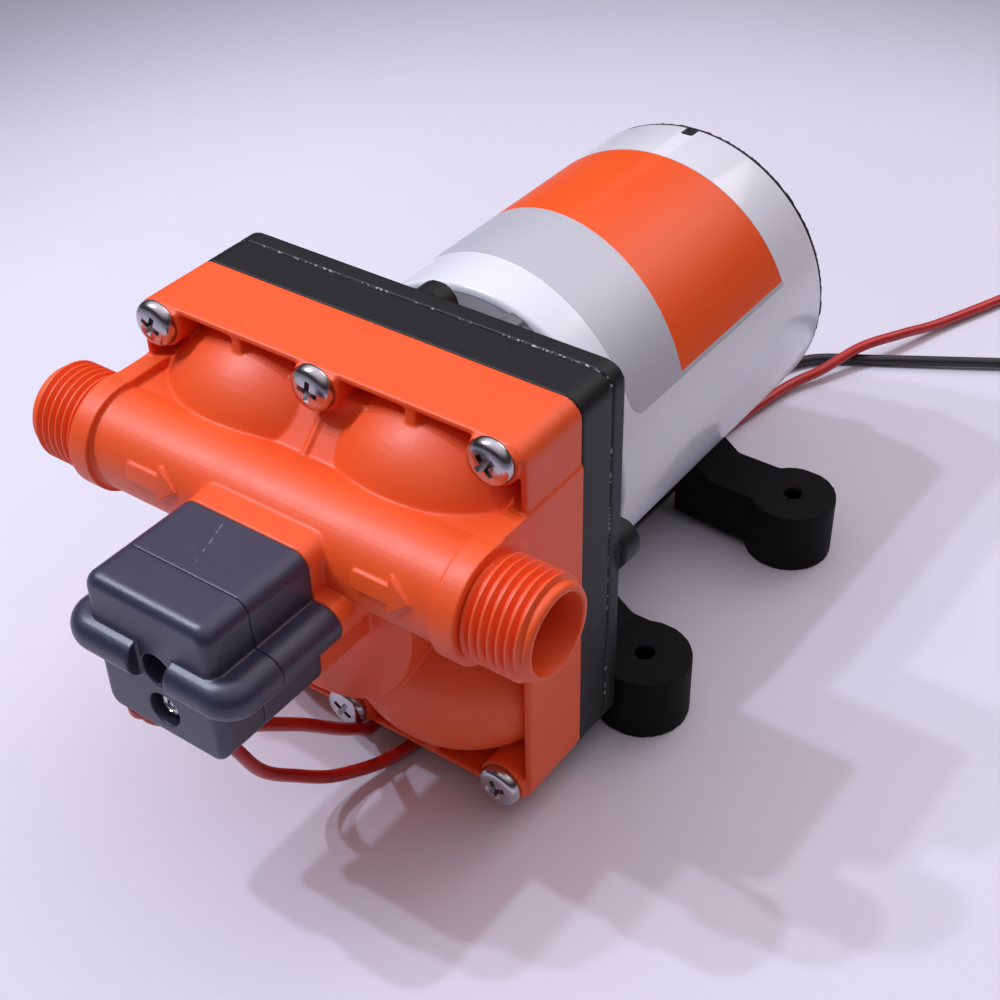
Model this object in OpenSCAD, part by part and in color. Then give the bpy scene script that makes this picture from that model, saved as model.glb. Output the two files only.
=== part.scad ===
// Four-chamber diaphragm water pump for a caravan: threaded head, pressure switch, 12 V motor, rubber feet.
// X runs across the pump to the outlet, Y back to the motor, Z up from the floor.
// The origin lies on the floor, midway between the four foot holes.

/* [Stance] */
// Height of the pump's axis above the floor
axis_z = 50.6; // [49:0.1:58]
// Distance between the foot holes, across the pump
foot_dx = 91.6; // [88:0.1:104]
// Distance between the foot holes, along the pump
foot_dy = 66.5; // [60:0.5:66.5]
// Radius of a rubber foot
foot_r = 10.3; // [8:0.1:10.5]
// Height of a rubber foot
foot_h = 15.6; // [13:0.1:17]
// Radius of the screw hole in a foot
foot_hole_r = 2.1; // [1.5:0.1:3]
// Width of the neck that joins a foot to the cradle
neck_w = 14.6; // [11:0.1:16]
// Thickness of the steel bracket under the motor
bracket_t = 2; // [1.5:0.1:3]

/* [Head] */
// Width of the pump head
head_w = 91.5; // [88:0.5:100]
// Height of the pump head
head_h = 88; // [84:0.5:98]
// Depth of the head's rim
head_depth = 17.3; // [15:0.1:21]
// Distance of the head's front rim ahead of the foot pattern's middle
head_front = 75.8; // [75.5:0.1:84]
// Radius of the head's corners
corner_r = 4.2; // [3.6:0.1:7]
// Wall of the rim round the recess
lip = 1.3; // [1.2:0.1:2]
// Depth of the recess inside the rim
recess = 9; // [7:0.1:10]
// Gap between the domes and the rim's wall
dome_gap = 1.1; // [0.5:0.1:1.5]
// Radius of a dome in side view
dome_r = 20; // [18:0.1:20.2]
// Radius of a dome's crown along its length
dome_crown = 28; // [26:0.5:36]
// How far the domes stand ahead of the rim
dome_rise = 10.2; // [9:0.1:11]
// Radius of the round middle chamber
hub_r = 27; // [24:0.1:29]
// How far the middle chamber stands ahead of the rim
hub_rise = 11; // [9:0.1:12]
// Distance of the corner screws from the head's sides
screw_in = 6.2; // [5.4:0.1:6.4]
// Distance of the screws from the head's top and bottom
screw_down = 3.6; // [3.4:0.1:4.4]
// Radius of a head screw's shank
screw_r = 2; // [1.6:0.1:2.1]
// Radius of a head screw's head
screw_head_r = 4.75; // [4:0.05:5]

/* [Ports] */
// How far a port's end stands out from the head's side
port_reach = 14.4; // [14.2:0.05:20]
// Height of the port axis above the pump's axis
port_up = 18.7; // [17.5:0.1:19.5]
// How far the port axis lies ahead of the rim
port_rise = 11.4; // [10.5:0.1:12.5]
// Bore radius at the mouth of a port
bore_r = 7.75; // [6.5:0.05:8]
// Length of the bore at its full radius
bore_l = 18; // [12:0.5:22]
// Crest radius of the port thread
thread_r = 10.4; // [10.2:0.05:11]
// Depth of the port thread
thread_depth = 1.1; // [0.6:0.05:1.3]
// Pitch of the port thread, fourteen turns to the inch
thread_pitch = 1.814; // [1.4:0.001:1.9]
// Turns of thread on a port
thread_turns = 7; // [4:1:7]
// Radius of the collar behind the thread
collar_r = 11.75; // [11.2:0.05:12.5]
// Width of the collar
collar_w = 5; // [4:0.1:6]
// Length of the threaded spigot beyond its collar
spigot_l = 13.65; // [13.6:0.05:16]
// Radius of the cross tube
tube_r = 10.5; // [10:0.1:11]

/* [Plates] */
// Thickness of the valve plate
valve_depth = 10; // [9:0.1:12]
// Thickness of the drive housing's plate
drive_depth = 4.2; // [3.6:0.1:6]
// Distance of each piston from the axis, across and upward
piston_d = 15.5; // [15.2:0.1:15.8]
// Radius of a piston
piston_r = 11.2; // [10:0.1:11.4]
// Radial room for a piston's sway
piston_room = 1.6; // [1.5:0.05:1.8]
// Thickness of the diaphragm
diaphragm_t = 1.6; // [1.2:0.1:2]
// Tilt of the canted hub, in degrees
cant = 4; // [3:0.1:4.2]

/* [Motor] */
// Outer radius of the motor can
can_r = 36.6; // [36:0.1:38]
// Length of the motor can
can_l = 86.2; // [85:0.1:100]
// Wall of the motor can
can_wall = 2; // [1.2:0.1:2.2]
// Length of the front bell between drive housing and can
bell_l = 15.6; // [15.2:0.1:18]
// Radius of the motor shaft
shaft_r = 4; // [3.5:0.1:4.5]
// Radius of the armature core
core_r = 27.9; // [27:0.1:28]
// Length of the armature core
core_l = 38; // [30:0.5:42]
// Slots in the armature core
core_slots = 12; // [8:1:14]
// Radius of the commutator
commutator_r = 10; // [9:0.1:10.4]

/* [Switch] */
// Width of the pressure switch box
switch_w = 30.2; // [30:0.1:33]
// Height of the pressure switch box
switch_h = 30.7; // [29.8:0.1:31]
// How far the pressure switch's middle lies to the outlet side
switch_side = 2.2; // [0:0.1:2.8]
// Height of the pressure switch's middle above the pump's axis
switch_up = 10.1; // [9.6:0.1:11.2]
// Depth of the switch base
base_d = 15.2; // [15:0.1:17]
// Depth of the switch cover
cover_d = 10.4; // [10:0.1:13]
// Width of the rounded ledge round the switch box
ledge_w = 43; // [42:0.1:48]
// Thickness of the rounded ledge
ledge_h = 8; // [6:0.1:9]
// How far the ledge stands ahead of the cover
ledge_nose = 3; // [2:0.1:4]
// How far the saddle stands ahead of the rim
saddle_rise = 25.2; // [24.4:0.1:27]
// Travel of the switch plunger
plunger_travel = 0.8; // [0.4:0.1:1]

/* [Leads] */
// Radius of a lead over its insulation
lead_r = 1.4; // [1:0.05:1.6]

/* [Hidden] */
$fn = 48;

// Overshoot of every cut, and the clearances of the fits
cut = 1;
run_gap = 0.04;
slip_gap = 0.1;
seat_gap = 0.05;
screw_gap = 0.3;

// Planes along the pump, from the front
y_rim = -head_front;
y_floor = y_rim + recess;
y_port = y_rim - port_rise;
y_saddle = y_rim - saddle_rise;
y_split = y_saddle - base_d;
y_front = y_split - cover_d;
y_valve = y_rim + head_depth;
y_drive = y_valve + valve_depth;
y_back = y_drive + drive_depth;
y_can = y_back + bell_l;
y_rear = y_can + can_l;

// Signs that place what comes in fours, sixes and pairs
QUARTERS = [[-1, 1], [1, 1], [-1, -1], [1, -1]];
SIDES = [-1, 1];

// Head details
port_span = head_w + 2 * port_reach;
dome_in = 2.65;
dome_dx = head_w / 2 - lip - dome_gap - dome_r - dome_in;
dome_dz = head_h / 2 - lip - dome_gap - dome_r;
screw_dx = head_w / 2 - screw_in;
screw_dz = head_h / 2 - screw_down;
head_half = min(head_w, head_h) / 2;
screw_places = [for (sx = [-1, 0, 1], sz = SIDES) [sx * screw_dx, sz * screw_dz]];
collar_end = port_span / 2 - spigot_l;
chamber_wall = 2.5;
void_r = 13;
void_ball = 16;
void_rise = 7.2;
y_void = y_rim - void_rise + void_ball;
y_dome = y_rim - dome_rise + dome_r;
dome_half = head_w / 2 - lip / 2 - dome_dx;
outlet_r = 8.5;
outlet_front = 9.5;
bore_step = 0.85;
deep_bore_r = bore_r - bore_step;
inlet_end = -17;
outlet_end = -4;
gallery_w = 6;
gallery_d = 4;
riser_back = 1.2;
riser = [5, y_port + riser_back];
riser_r = 4;
boss_r = 5.3;
boss_proud = 1;
spur_w = 2.4;
spur_in = 0.3;
spur_reach = 3.7;
rib_w = 1.8;
web_w = 18;
pad_proud = 0.4;
web_inset = 0.2;
web_half = collar_r - web_inset;
lead_in = 0.9;
back_up = 6.3;
arrow_places = [-24.9, 30.3];
arrow_up = 13;
arrow_l = 12.7;
arrow_w = 7.2;
arrow_proud = 0.45;

// Screw details
screw_head_h = 2.6;
recess_w = 1.3;
recess_d = 1.5;
screw_end = 0.4;

// Seal and valves
seal_in = 7.6;
seal_half = head_half - seal_in;
gallery_in = 5.4;
gallery_r = seal_half - gallery_in;
seal_w = 1.6;
seal_d = 1.5;
seal_corner = 7;
pocket_room = 0.8;
pocket_r = piston_r + piston_room + pocket_room;
pocket_d = 5.5;
umbrella_out = 3.2;
umbrella_r = 5.5;
umbrella_t = 1.1;
umbrella_stem_r = 1.5;
inlet_hole_r = 1;
inlet_ring_r = 3.4;
outlet_recess_r = 12;
outlet_recess_d = 3;
outlet_valve_r = 11.2;
outlet_valve_t = 1;
outlet_stem_r = 2;
outlet_stem_l = 4.5;
outlet_hole_d = 7;
outlet_hole_r = 1.1;

// Diaphragm and drive housing
sheet_in = 10;
sheet_half = head_half - sheet_in;
sheet_corner = 8;
piston_hole_r = piston_r + piston_room;
mid_boss_r = 4.8;
mid_boss_l = 5;
mid_boss_in = 0.1;
mid_boss_up = head_h / 2 - mid_boss_r - mid_boss_in;
side_boss_in = 3.1;
side_boss_x = head_w / 2 - side_boss_in;
bolt_up = 31.5;
bolt_r = 2;
bolt_end = 1.1;

// Rocking drive: its pivot lies on the axis inside the bell
pivot_back = 7.8;
y_pivot = y_back + pivot_back;
pad_r = 9.5;
lobe_r = 9.8;
pad_front = y_drive + diaphragm_t - y_pivot;
piston_t = 2.8;
spider_front = -5;
spider_t = 3.5;
ring_half = 5;
ring_r = 18;
bearing_r = 14;
bearing_half = 4.5;
journal_r = 9;
collar_hub_r = 8;
collar_hub_l = 5;
set_screw_r = 1.5;
set_screw_back = 1.8;
y_set_screw = y_pivot + ring_half + set_screw_back;
piston_screw_r = 1.6;
piston_screw_head_r = 3;
piston_screw_l = 6;

// Motor details
can_in = can_r - can_wall;
bell_wall = 2;
bell_inset = 1.4;
bell_r = can_r - bell_inset;
bell_floor = 7.5;
bell_seat_r = 11;
bell_hole_r = 9.5;
bell_ribs = 10;
bearing_w = 7;
floor_front = 1;
y_bell_floor = y_can - floor_front;
bearing_back = 1.3;
y_bearing = y_can + bearing_back;
magnet_in = 28.6;
magnet_l = 46;
magnet_angle = 130;
core_back = 22.7;
y_core = y_can + core_back;
end_turn_l = 7.5;
end_turn_in = 12;
end_turn_r = 24.5;
slot_in = 19;
slot_w = 4;
slot_mouth = 1.6;
turn_gap = 1.5;
y_commutator = y_core + core_l + end_turn_l + turn_gap;
commutator_l = 8.2;
brush_w = 5;
brush_l = 5.8;
brush_out = 18.5;
holder_out = 27.5;
holder_wall = 1.5;
spring_r = 2;
card_gap = 0.4;
y_card = y_commutator + commutator_l + card_gap;
card_t = 2.5;
card_hole_r = 11;
cap_lip = 1;
cap_back = 1.7;
bush_r = 8;
notch_w = 3.2;
notch_l = 3.7;
bolt_head_r = 3.9;
bolt_head_h = 2.5;
shaft_nose = 4.7;
shaft_front = y_pivot - shaft_nose;
shaft_tail = 1.3;
shaft_end = y_rear - shaft_tail;
grommet_x = [-9, 5];
grommet_down = 22;
grommet_r = 3.2;
grommet_flange_r = 4.4;
grommet_flange_t = 1.8;

// Bracket and feet
tab_w = 9;
tab_reach = 34;
plate_half = 17;
saddle_half = 16;
plate_z = 6.5;
plate_over = 9;
neck_lift = 1.5;
neck_in = 18;
front_slope = 37;
rear_slope = 27.5;
slope_run = 7.5;
front_neck_back = 9.6;
slope_up = 5.8;

// Switch details
switch_z = axis_z + switch_up;
switch_corner = 3.5;
switch_wall = 2.75;
rear_wall = 5;
ledge_up = 1.2;
ledge_corner = 7;
ledge_gap = [-3.2, 5.3];
adjust_r = 3.5;
adjust_boss_r = 5.1;
// The setting screw, its spring and the plunger share one line beside the box's middle
set_line = [0.8, 0.2];
adjust_l = 8.6;
adjust_in = 4;
adjust_socket_r = 1.3;
adjust_socket_d = 3;
cover_screw_at = [0.8, -9.3];
cover_screw_r = 1.5;
cover_screw_head_r = 2.9;
cover_screw_head_h = 2.2;
cover_recess_w = 3.5;
cover_recess_t = 0.8;
counterbore_r = 3.6;
counterbore_d = 3.4;
cover_boss_r = 4.8;
base_column_r = 4.2;
cover_screw_bite = 5.8;
pressure_r = 5.6;
pressure_d = 1.5;
pressure_hole_r = 1.5;
pressure_hole_x = 2.7;
disc_r = 6.9;
disc_t = 1.5;
plunger_r = 5.8;
plunger_t = 3.1;
plunger_bore_r = 6.2;
cup_r = 5.4;
cup_t = 2.4;
spring_pocket_r = 3.2;
spring_pocket_d = 3.9;
plunger_spring_r = 2.7;
plunger_wire = 0.7;
arm_w = 3.2;
arm_t = 1.5;
arm_top = 10.5;
button_up = 9;
button_r = 1;
button_l = 2.9;
button_spare = 0.5;
button_show = plunger_travel + button_spare;
micro_w = 12.8;
micro_h = 6.2;
micro_d = 6.4;
blade_w = 4.8;
blade_t = 0.8;
blade_end = 43.4;
front_blade_x = -9.4;
front_blade_in = 3.5;
back_blade_x = 7;
back_blade_in = 2.6;
front_blade_up = 8;
sleeve_r = 3.1;
sleeve_low = 42.7;
sleeve_high = 45;
y_disc = y_saddle - disc_t;
y_plunger = y_disc - slip_gap;
y_cup = y_plunger - plunger_t - cup_t;
y_button = y_cup - slip_gap;
y_micro = y_button - button_show;
y_adjust = y_front + adjust_in;
cavity_h = switch_h - 2 * switch_wall;
front_blade_y = y_front + front_blade_in;
back_blade_y = y_split + back_blade_in;
neck_y = foot_dy / 2;
neck_x = foot_dx / 2;

// Routes of the leads on the floor, from the switch and from the rear cap
switch_route = [
    [9.2, -113.6, 42], [9.1, -112.7, 39.5], [8.4, -108.8, 35.8], [6.3, -97, 24.4], [4.4, -81, 8.5],
    [3.2, -70, 2.6], [0, -25, 2], [-6, 30, 2], [-9, 60, 3.4], [-9, 70.6, 13], [-9, 70.4, 22],
    [-9, 66.4, 27.6], [-9, 60.6, 28.6]];
supply_route = [
    [-7.2, -123.1, 42], [-7, -122.7, 39.9], [-5.9, -121.3, 38], [-3.3, -118.9, 36.9],
    [0.8, -116, 35.2], [3.9, -113, 29.6], [4.2, -107.8, 19.6], [4.9, -100.5, 12], [8.5, -90, 5.2],
    [13, -73.6, 2], [13.5, -45, 2], [9.6, 40, 2], [14, 85, 2], [20, 102, 3.2], [25, 115, 5.4],
        [31, 130, 4],
    [38, 148, 2], [60, 202, 2]];
return_route = [
    [5, 60.6, 28.6], [5, 67, 27.6], [5.2, 76, 20], [5.8, 85, 9.5], [8, 95.5, 2.6], [15, 107.5, 1.8],
    [30, 117, 1.8], [48, 127.5, 2], [64, 137, 2], [80, 146, 2]];

// A solid drawn across the pump and drawn out along its length, from y
module along_y(y, l) {
    translate([0, y + l, 0]) rotate([90, 0, 0]) linear_extrude(l) children();
}

// A solid drawn in side view and drawn out across the pump, from x
module along_x(x, l) {
    translate([x, 0, 0]) rotate([90, 0, 90]) linear_extrude(l) children();
}

// Places what is drawn round the pump's axis
module on_axis() {
    translate([0, 0, axis_z]) children();
}

// A round bar along Y at [across, up]
module rod_y(p, r, y, l) {
    translate([p[0], y + l, p[1]]) rotate([90, 0, 0]) cylinder(r = r, h = l);
}

// A round bar along X
module rod_x(x, y, z, r, l) {
    translate([x, y, z]) rotate([0, 90, 0]) cylinder(r = r, h = l);
}

// A box given by two corners
module block(a, b) {
    translate(a) cube(b - a);
}

// A rectangle with round corners
module rounded_rect(w, h, r) {
    square([w - 2 * r, h], center = true);
    square([w, h - 2 * r], center = true);
    for (q = QUARTERS) translate([q[0] * (w / 2 - r), q[1] * (h / 2 - r)]) circle(r);
}

// A bar with round ends
module stadium(w, h) {
    square([w - h, h], center = true);
    for (s = SIDES) translate([s * (w - h) / 2, 0]) circle(h / 2);
}

// A flat ring
module ring(outer, inner) {
    difference() {
        circle(outer);
        circle(inner);
    }
}

// Places what tilts with the canted hub
module canted() {
    translate([0, y_pivot, axis_z]) rotate([cant, 0, 0]) children();
}

// A dome over a chamber at [across, up]: a barrel that lies across the pump, cut off behind the recess
module dome(p) {
    intersection() {
        translate([p[0], y_dome, p[1]]) rotate([0, 90, 0]) rotate_extrude() intersection() {
            translate([dome_r - dome_crown, 0]) circle(dome_crown);
            translate([0, -dome_half]) square([dome_r, 2 * dome_half]);
        }
        block([-head_w / 2, y_rim - dome_rise - cut, -head_h / 2],
            [head_w / 2, y_floor + cut, head_h / 2]);
    }
}

// The hollow of a chamber at [across, up]: a round bar with a ball's front
module chamber(p) {
    translate([p[0], y_void, p[1]]) rotate([-90, 0, 0]) rotate_extrude() {
        intersection() {
            circle(void_ball);
            translate([0, -void_ball]) square([void_r, void_ball]);
        }
        square([void_r, y_valve + cut - y_void]);
    }
}

// Outline of a threaded spigot from its collar: radius across, length upward
function spigot_outline() = concat(
    [[0, -cut], [thread_r - thread_depth, -cut]],
    [for (i = [0:thread_turns - 1], k = [0:3])
        [thread_r - (k == 0 || k == 3 ? thread_depth : 0), thread_pitch * (i + [0.05, 0.4, 0.55,
            0.9][k])]],
    [[thread_r - thread_depth, spigot_l - lead_in], [thread_r - thread_depth - 0.5, spigot_l],
        [0, spigot_l]]);

// One port: collar, web back to the rim, and threaded spigot, on the +X side
module port() {
    rod_x(collar_end - collar_w, y_port, port_up, collar_r, collar_w);
    block([collar_end - collar_w, y_port, port_up - web_half],
        [head_w / 2 + pad_proud, y_valve, port_up + web_half]);
    block([head_w / 2 - lip / 2, y_rim, corner_r - head_h / 2],
        [head_w / 2 + pad_proud, y_valve, port_up]);
    translate([collar_end, y_port, port_up]) rotate([0, 90, 0]) rotate_extrude()
        polygon(spigot_outline());
}

// A flow arrow that points to +X
module arrow() {
    shaft = arrow_w / 4;
    neck = arrow_l / 8;
    polygon([[-arrow_l / 2, shaft], [neck, shaft], [neck, arrow_w / 2], [arrow_l / 2, 0],
        [neck, -arrow_w / 2],
        [neck, -shaft], [-arrow_l / 2, -shaft]]);
}

// Everything that stands on the head's plate inside the rim
module head_relief() {
    for (q = QUARTERS) {
        dome([q[0] * dome_dx, q[1] * dome_dz]);
        x = q[0] * dome_dx;
        block([x - spur_w / 2, y_rim + spur_in,
            q[1] > 0 ? dome_dz + dome_r - spur_reach : lip / 2 - head_h / 2],
            [x + spur_w / 2, y_floor + cut,
                q[1] > 0 ? head_h / 2 - lip / 2 : spur_reach - dome_dz - dome_r]);
    }
    intersection() {
        along_y(y_rim - boss_proud, boss_proud + recess + cut)
            rounded_rect(head_w - lip, head_h - lip, corner_r - lip / 2);
        for (p = screw_places) rod_y(p, boss_r, y_rim - boss_proud, boss_proud + recess + cut);
    }
    rod_y([0, 0], hub_r, y_rim - hub_rise, hub_rise + recess + cut);
    rod_x(-collar_end + collar_w / 2, y_port, port_up, tube_r, 2 * collar_end - collar_w);
    block([-collar_end + collar_w / 2, y_port, port_up - tube_r + lead_in],
        [collar_end - collar_w / 2, y_floor + cut, port_up + back_up]);
    along_x(-web_w / 2, web_w) polygon([[y_rim + rib_w, screw_dz - boss_r / 2], [y_rim + rib_w / 2,
        screw_dz - boss_r - lip / 2],
        [y_port + rib_w, port_up + tube_r / 2], [y_floor + cut, port_up],
            [y_floor + cut, screw_dz - boss_r / 2]]);
    for (x = arrow_places) translate([x, y_port, port_up]) rotate([-arrow_up, 0, 0])
        along_y(-tube_r - arrow_proud, arrow_proud + cut) arrow();
}

// The saddle that carries the pressure switch: the outline of box and ledge, back to the middle chamber
module switch_saddle() {
    translate([switch_side, 0, switch_up]) along_y(y_saddle, y_rim - hub_rise + lead_in - y_saddle) {
        rounded_rect(switch_w, switch_h, switch_corner);
        translate([0, ledge_up]) stadium(ledge_w, ledge_h);
    }
}

module pump_head() {
    color("orangered") on_axis() difference() {
        union() {
            difference() {
                along_y(y_rim, head_depth) rounded_rect(head_w, head_h, corner_r);
                along_y(y_rim - cut, recess + cut) rounded_rect(head_w - 2 * lip, head_h - 2 * lip,
                    corner_r - lip);
            }
            head_relief();
            port();
            mirror([1, 0, 0]) port();
            switch_saddle();
        }
        difference() {
            for (q = QUARTERS) chamber([q[0] * dome_dx, q[1] * dome_dz]);
            rod_x(outlet_end - chamber_wall, y_port, port_up, bore_r + chamber_wall, head_w / 2);
        }
        along_y(y_valve - gallery_d, gallery_d + cut) ring(gallery_r + gallery_w / 2,
            gallery_r - gallery_w / 2);
        rod_y([0, 0], outlet_r, y_rim - outlet_front, outlet_front + head_depth + cut);
        translate([riser[0], riser[1], 0]) cylinder(r = riser_r, h = port_up);
        rod_x(-port_span / 2 - cut, y_port, port_up, bore_r, bore_l + cut);
        rod_x(-port_span / 2, y_port, port_up, deep_bore_r, port_span / 2 + inlet_end);
        rod_x(port_span / 2 - bore_l, y_port, port_up, bore_r, bore_l + cut);
        rod_x(outlet_end, y_port, port_up, deep_bore_r, port_span / 2 - outlet_end);
        translate([switch_side, 0, switch_up]) {
            rod_y(set_line, pressure_r, y_saddle - cut, pressure_d + cut);
            rod_y([pressure_hole_x, pressure_r - 2 * pressure_hole_r], pressure_hole_r, y_saddle,
                y_port - y_saddle);
            rod_y(cover_screw_at, cover_screw_r, y_saddle - cut, cover_screw_bite + cut);
        }
        for (p = screw_places)
            rod_y(p, screw_r + screw_gap, y_rim - boss_proud - cut, boss_proud + head_depth + 2 * cut);
    }
}

module seal_shape(grow) {
    difference() {
        rounded_rect(2 * (seal_half + seal_w / 2 + grow), 2 * (seal_half + seal_w / 2 + grow),
            seal_corner);
        rounded_rect(2 * (seal_half - seal_w / 2 - grow), 2 * (seal_half - seal_w / 2 - grow),
            seal_corner - seal_w);
    }
}

module head_seal() {
    color("black") on_axis() along_y(y_valve, seal_d) seal_shape(0);
}

module valve_plate() {
    color("dimgray") on_axis() difference() {
        along_y(y_valve, valve_depth) rounded_rect(head_w, head_h, corner_r);
        along_y(y_valve - cut, seal_d + cut) seal_shape(0);
        rod_y([0, 0], outlet_recess_r, y_valve - cut, outlet_recess_d + cut);
        rod_y([0, 0], outlet_stem_r, y_valve, outlet_recess_d + outlet_stem_l);
        for (q = QUARTERS) {
            rod_y(piston_d * q, pocket_r, y_drive - pocket_d, pocket_d + cut);
            rod_y((piston_d + umbrella_out) * q, umbrella_stem_r, y_valve - cut, valve_depth);
            for (a = [45:90:315])
                rod_y((piston_d + umbrella_out) * q + inlet_ring_r * [cos(a), sin(a)], inlet_hole_r,
                    y_valve - cut, valve_depth);
            rod_y(outlet_hole_d * q, outlet_hole_r, y_valve, valve_depth - pocket_d + cut);
        }
        for (p = screw_places) rod_y(p, screw_r + screw_gap, y_valve - cut, valve_depth + 2 * cut);
    }
}

module inlet_valves() {
    color("gray") on_axis() for (q = QUARTERS) {
        rod_y((piston_d + umbrella_out) * q, umbrella_r, y_drive - pocket_d, umbrella_t);
        rod_y((piston_d + umbrella_out) * q, umbrella_stem_r, y_valve, valve_depth - pocket_d);
    }
}

module outlet_valve() {
    color("gray") on_axis() {
        rod_y([0, 0], outlet_valve_r, y_valve + outlet_recess_d - outlet_valve_t, outlet_valve_t);
        rod_y([0, 0], outlet_stem_r, y_valve + outlet_recess_d, outlet_stem_l);
    }
}

module diaphragm() {
    color("saddlebrown") on_axis() difference() {
        along_y(y_drive, diaphragm_t) rounded_rect(2 * sheet_half, 2 * sheet_half, sheet_corner);
        for (q = QUARTERS) rod_y(piston_d * q, piston_hole_r, y_drive - cut, diaphragm_t + 2 * cut);
    }
}

module drive_housing() {
    color("black") on_axis() difference() {
        union() {
            along_y(y_drive, drive_depth) rounded_rect(head_w, head_h, corner_r);
            for (s = SIDES) {
                rod_y([0, s * mid_boss_up], mid_boss_r, y_back - cut, mid_boss_l + cut);
                rod_y([s * side_boss_x, 0], mid_boss_r, y_back - cut, mid_boss_l + cut);
            }
        }
        along_y(y_drive - cut, diaphragm_t + cut) rounded_rect(2 * sheet_half, 2 * sheet_half,
            sheet_corner);
        rod_y([0, 0], bell_r + lead_in + screw_gap, y_back, mid_boss_l + cut);
        for (q = QUARTERS) rod_y(piston_d * q, piston_hole_r, y_drive, drive_depth + cut);
        for (p = screw_places) rod_y(p, screw_r, y_drive - cut, drive_depth + mid_boss_l - screw_end);
        for (s = SIDES) rod_y([0, s * bolt_up], bolt_r, y_back - bolt_end - screw_end, drive_depth);
    }
}

// A pan-head screw along +Y: its head lies ahead of y
module pan_screw(p, y, l) {
    difference() {
        union() {
            translate([p[0], y, p[1]]) rotate([90, 0, 0]) rotate_extrude() intersection() {
                square([screw_head_r, screw_head_h]);
                translate([0, screw_head_h - 2 * screw_head_r]) circle(2 * screw_head_r);
            }
            rod_y(p, screw_r, y - cut, l + cut);
        }
        for (a = [0, 90]) translate([p[0], y - screw_head_h, p[1]]) rotate([0, a, 0])
            cube([screw_head_r * 1.1, 2 * recess_d, recess_w], center = true);
    }
}

module head_screws() {
    color("silver") on_axis() for (p = screw_places)
        pan_screw(p, y_rim - boss_proud, boss_proud + head_depth + valve_depth + drive_depth - screw_end
            + (p[0] == 0 ? mid_boss_l - 2 * cut : 0));
}

module pistons() {
    color("white") canted() difference() {
        for (q = QUARTERS) rod_y(piston_d * q, piston_r, pad_front - piston_t, piston_t);
        for (q = QUARTERS) {
            rod_y(piston_d * q, piston_screw_r, pad_front - piston_t - cut, piston_t + 2 * cut);
            rod_y(piston_d * q, piston_screw_head_r, pad_front - piston_t - cut, piston_t / 2 + cut);
        }
    }
}

module piston_screws() {
    color("silver") canted() for (q = QUARTERS) {
        rod_y(piston_d * q, piston_screw_head_r, pad_front - piston_t, piston_t / 2);
        rod_y(piston_d * q, piston_screw_r, pad_front - piston_t, piston_screw_l);
    }
}

module wobble_plate() {
    color("ivory") canted() difference() {
        union() {
            along_y(spider_front, spider_t) difference() {
                union() {
                    for (a = [45, 135]) rotate(a) square([2 * sqrt(2) * piston_d, 2 * pad_r],
                        center = true);
                    for (q = QUARTERS) translate(piston_d * q) circle(lobe_r);
                }
                circle((bearing_r + ring_r) / 2);
            }
            along_y(-ring_half, 2 * ring_half) ring(ring_r, bearing_r);
            for (q = QUARTERS) rod_y(piston_d * q, pad_r, pad_front, spider_front + cut - pad_front);
        }
        rod_y([0, 0], bearing_r, -ring_half - cut, ring_half);
        for (q = QUARTERS) rod_y(piston_d * q, piston_screw_r, pad_front - cut,
            piston_screw_l - piston_t + cut);
    }
}

module hub_bearing() {
    color("lightsteelblue") canted() along_y(-bearing_half, 2 * bearing_half) ring(bearing_r, journal_r);
}

module eccentric_hub() {
    color("gray") difference() {
        union() {
            canted() rod_y([0, 0], journal_r - run_gap, -ring_half, 2 * ring_half);
            on_axis() rod_y([0, 0], collar_hub_r, y_pivot + ring_half - cut, collar_hub_l);
        }
        on_axis() rod_y([0, 0], shaft_r, shaft_front - 2 * cut, bell_l + 2 * cut);
        translate([0, y_set_screw, axis_z])
            cylinder(r = set_screw_r, h = 2 * collar_hub_r);
    }
}

module hub_set_screw() {
    color("dimgray") translate([0, y_set_screw, axis_z + shaft_r + seat_gap])
        cylinder(r = set_screw_r, h = collar_hub_r - shaft_r);
}

module motor_shaft() {
    color("silver") on_axis() rod_y([0, 0], shaft_r, shaft_front, shaft_end - shaft_front);
}

module core_slot(w, mouth, inner, outer) {
    translate([(inner + outer) / 2, 0]) square([outer - inner, w], center = true);
    translate([outer - cut, -mouth / 2]) square([2 * cut + core_r - outer, mouth]);
}

module armature_core() {
    color("slategray") on_axis() along_y(y_core, core_l) difference() {
        circle(core_r);
        circle(shaft_r);
        for (i = [0:core_slots - 1]) rotate(i * 360 / core_slots)
            core_slot(slot_w, slot_mouth, slot_in, core_r - cut);
    }
}

module armature_winding() {
    color("peru") on_axis() {
        for (y = [y_core - end_turn_l, y_core + core_l])
            along_y(y, end_turn_l) ring(end_turn_r, end_turn_in);
        for (i = [0:core_slots - 1]) along_y(y_core - cut, core_l + 2 * cut) rotate(i * 360 / core_slots)
            translate([slot_in + slip_gap, slip_gap - slot_w / 2])
                square([end_turn_r - slot_in - 2 * slip_gap, slot_w - 2 * slip_gap]);
    }
}

module commutator() {
    color("chocolate") on_axis() along_y(y_commutator, commutator_l) difference() {
        ring(commutator_r, shaft_r);
        for (i = [0:core_slots - 1]) rotate(i * 360 / core_slots)
            translate([commutator_r, 0]) square([2 * slot_mouth, slot_mouth / 4], center = true);
    }
}

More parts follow.
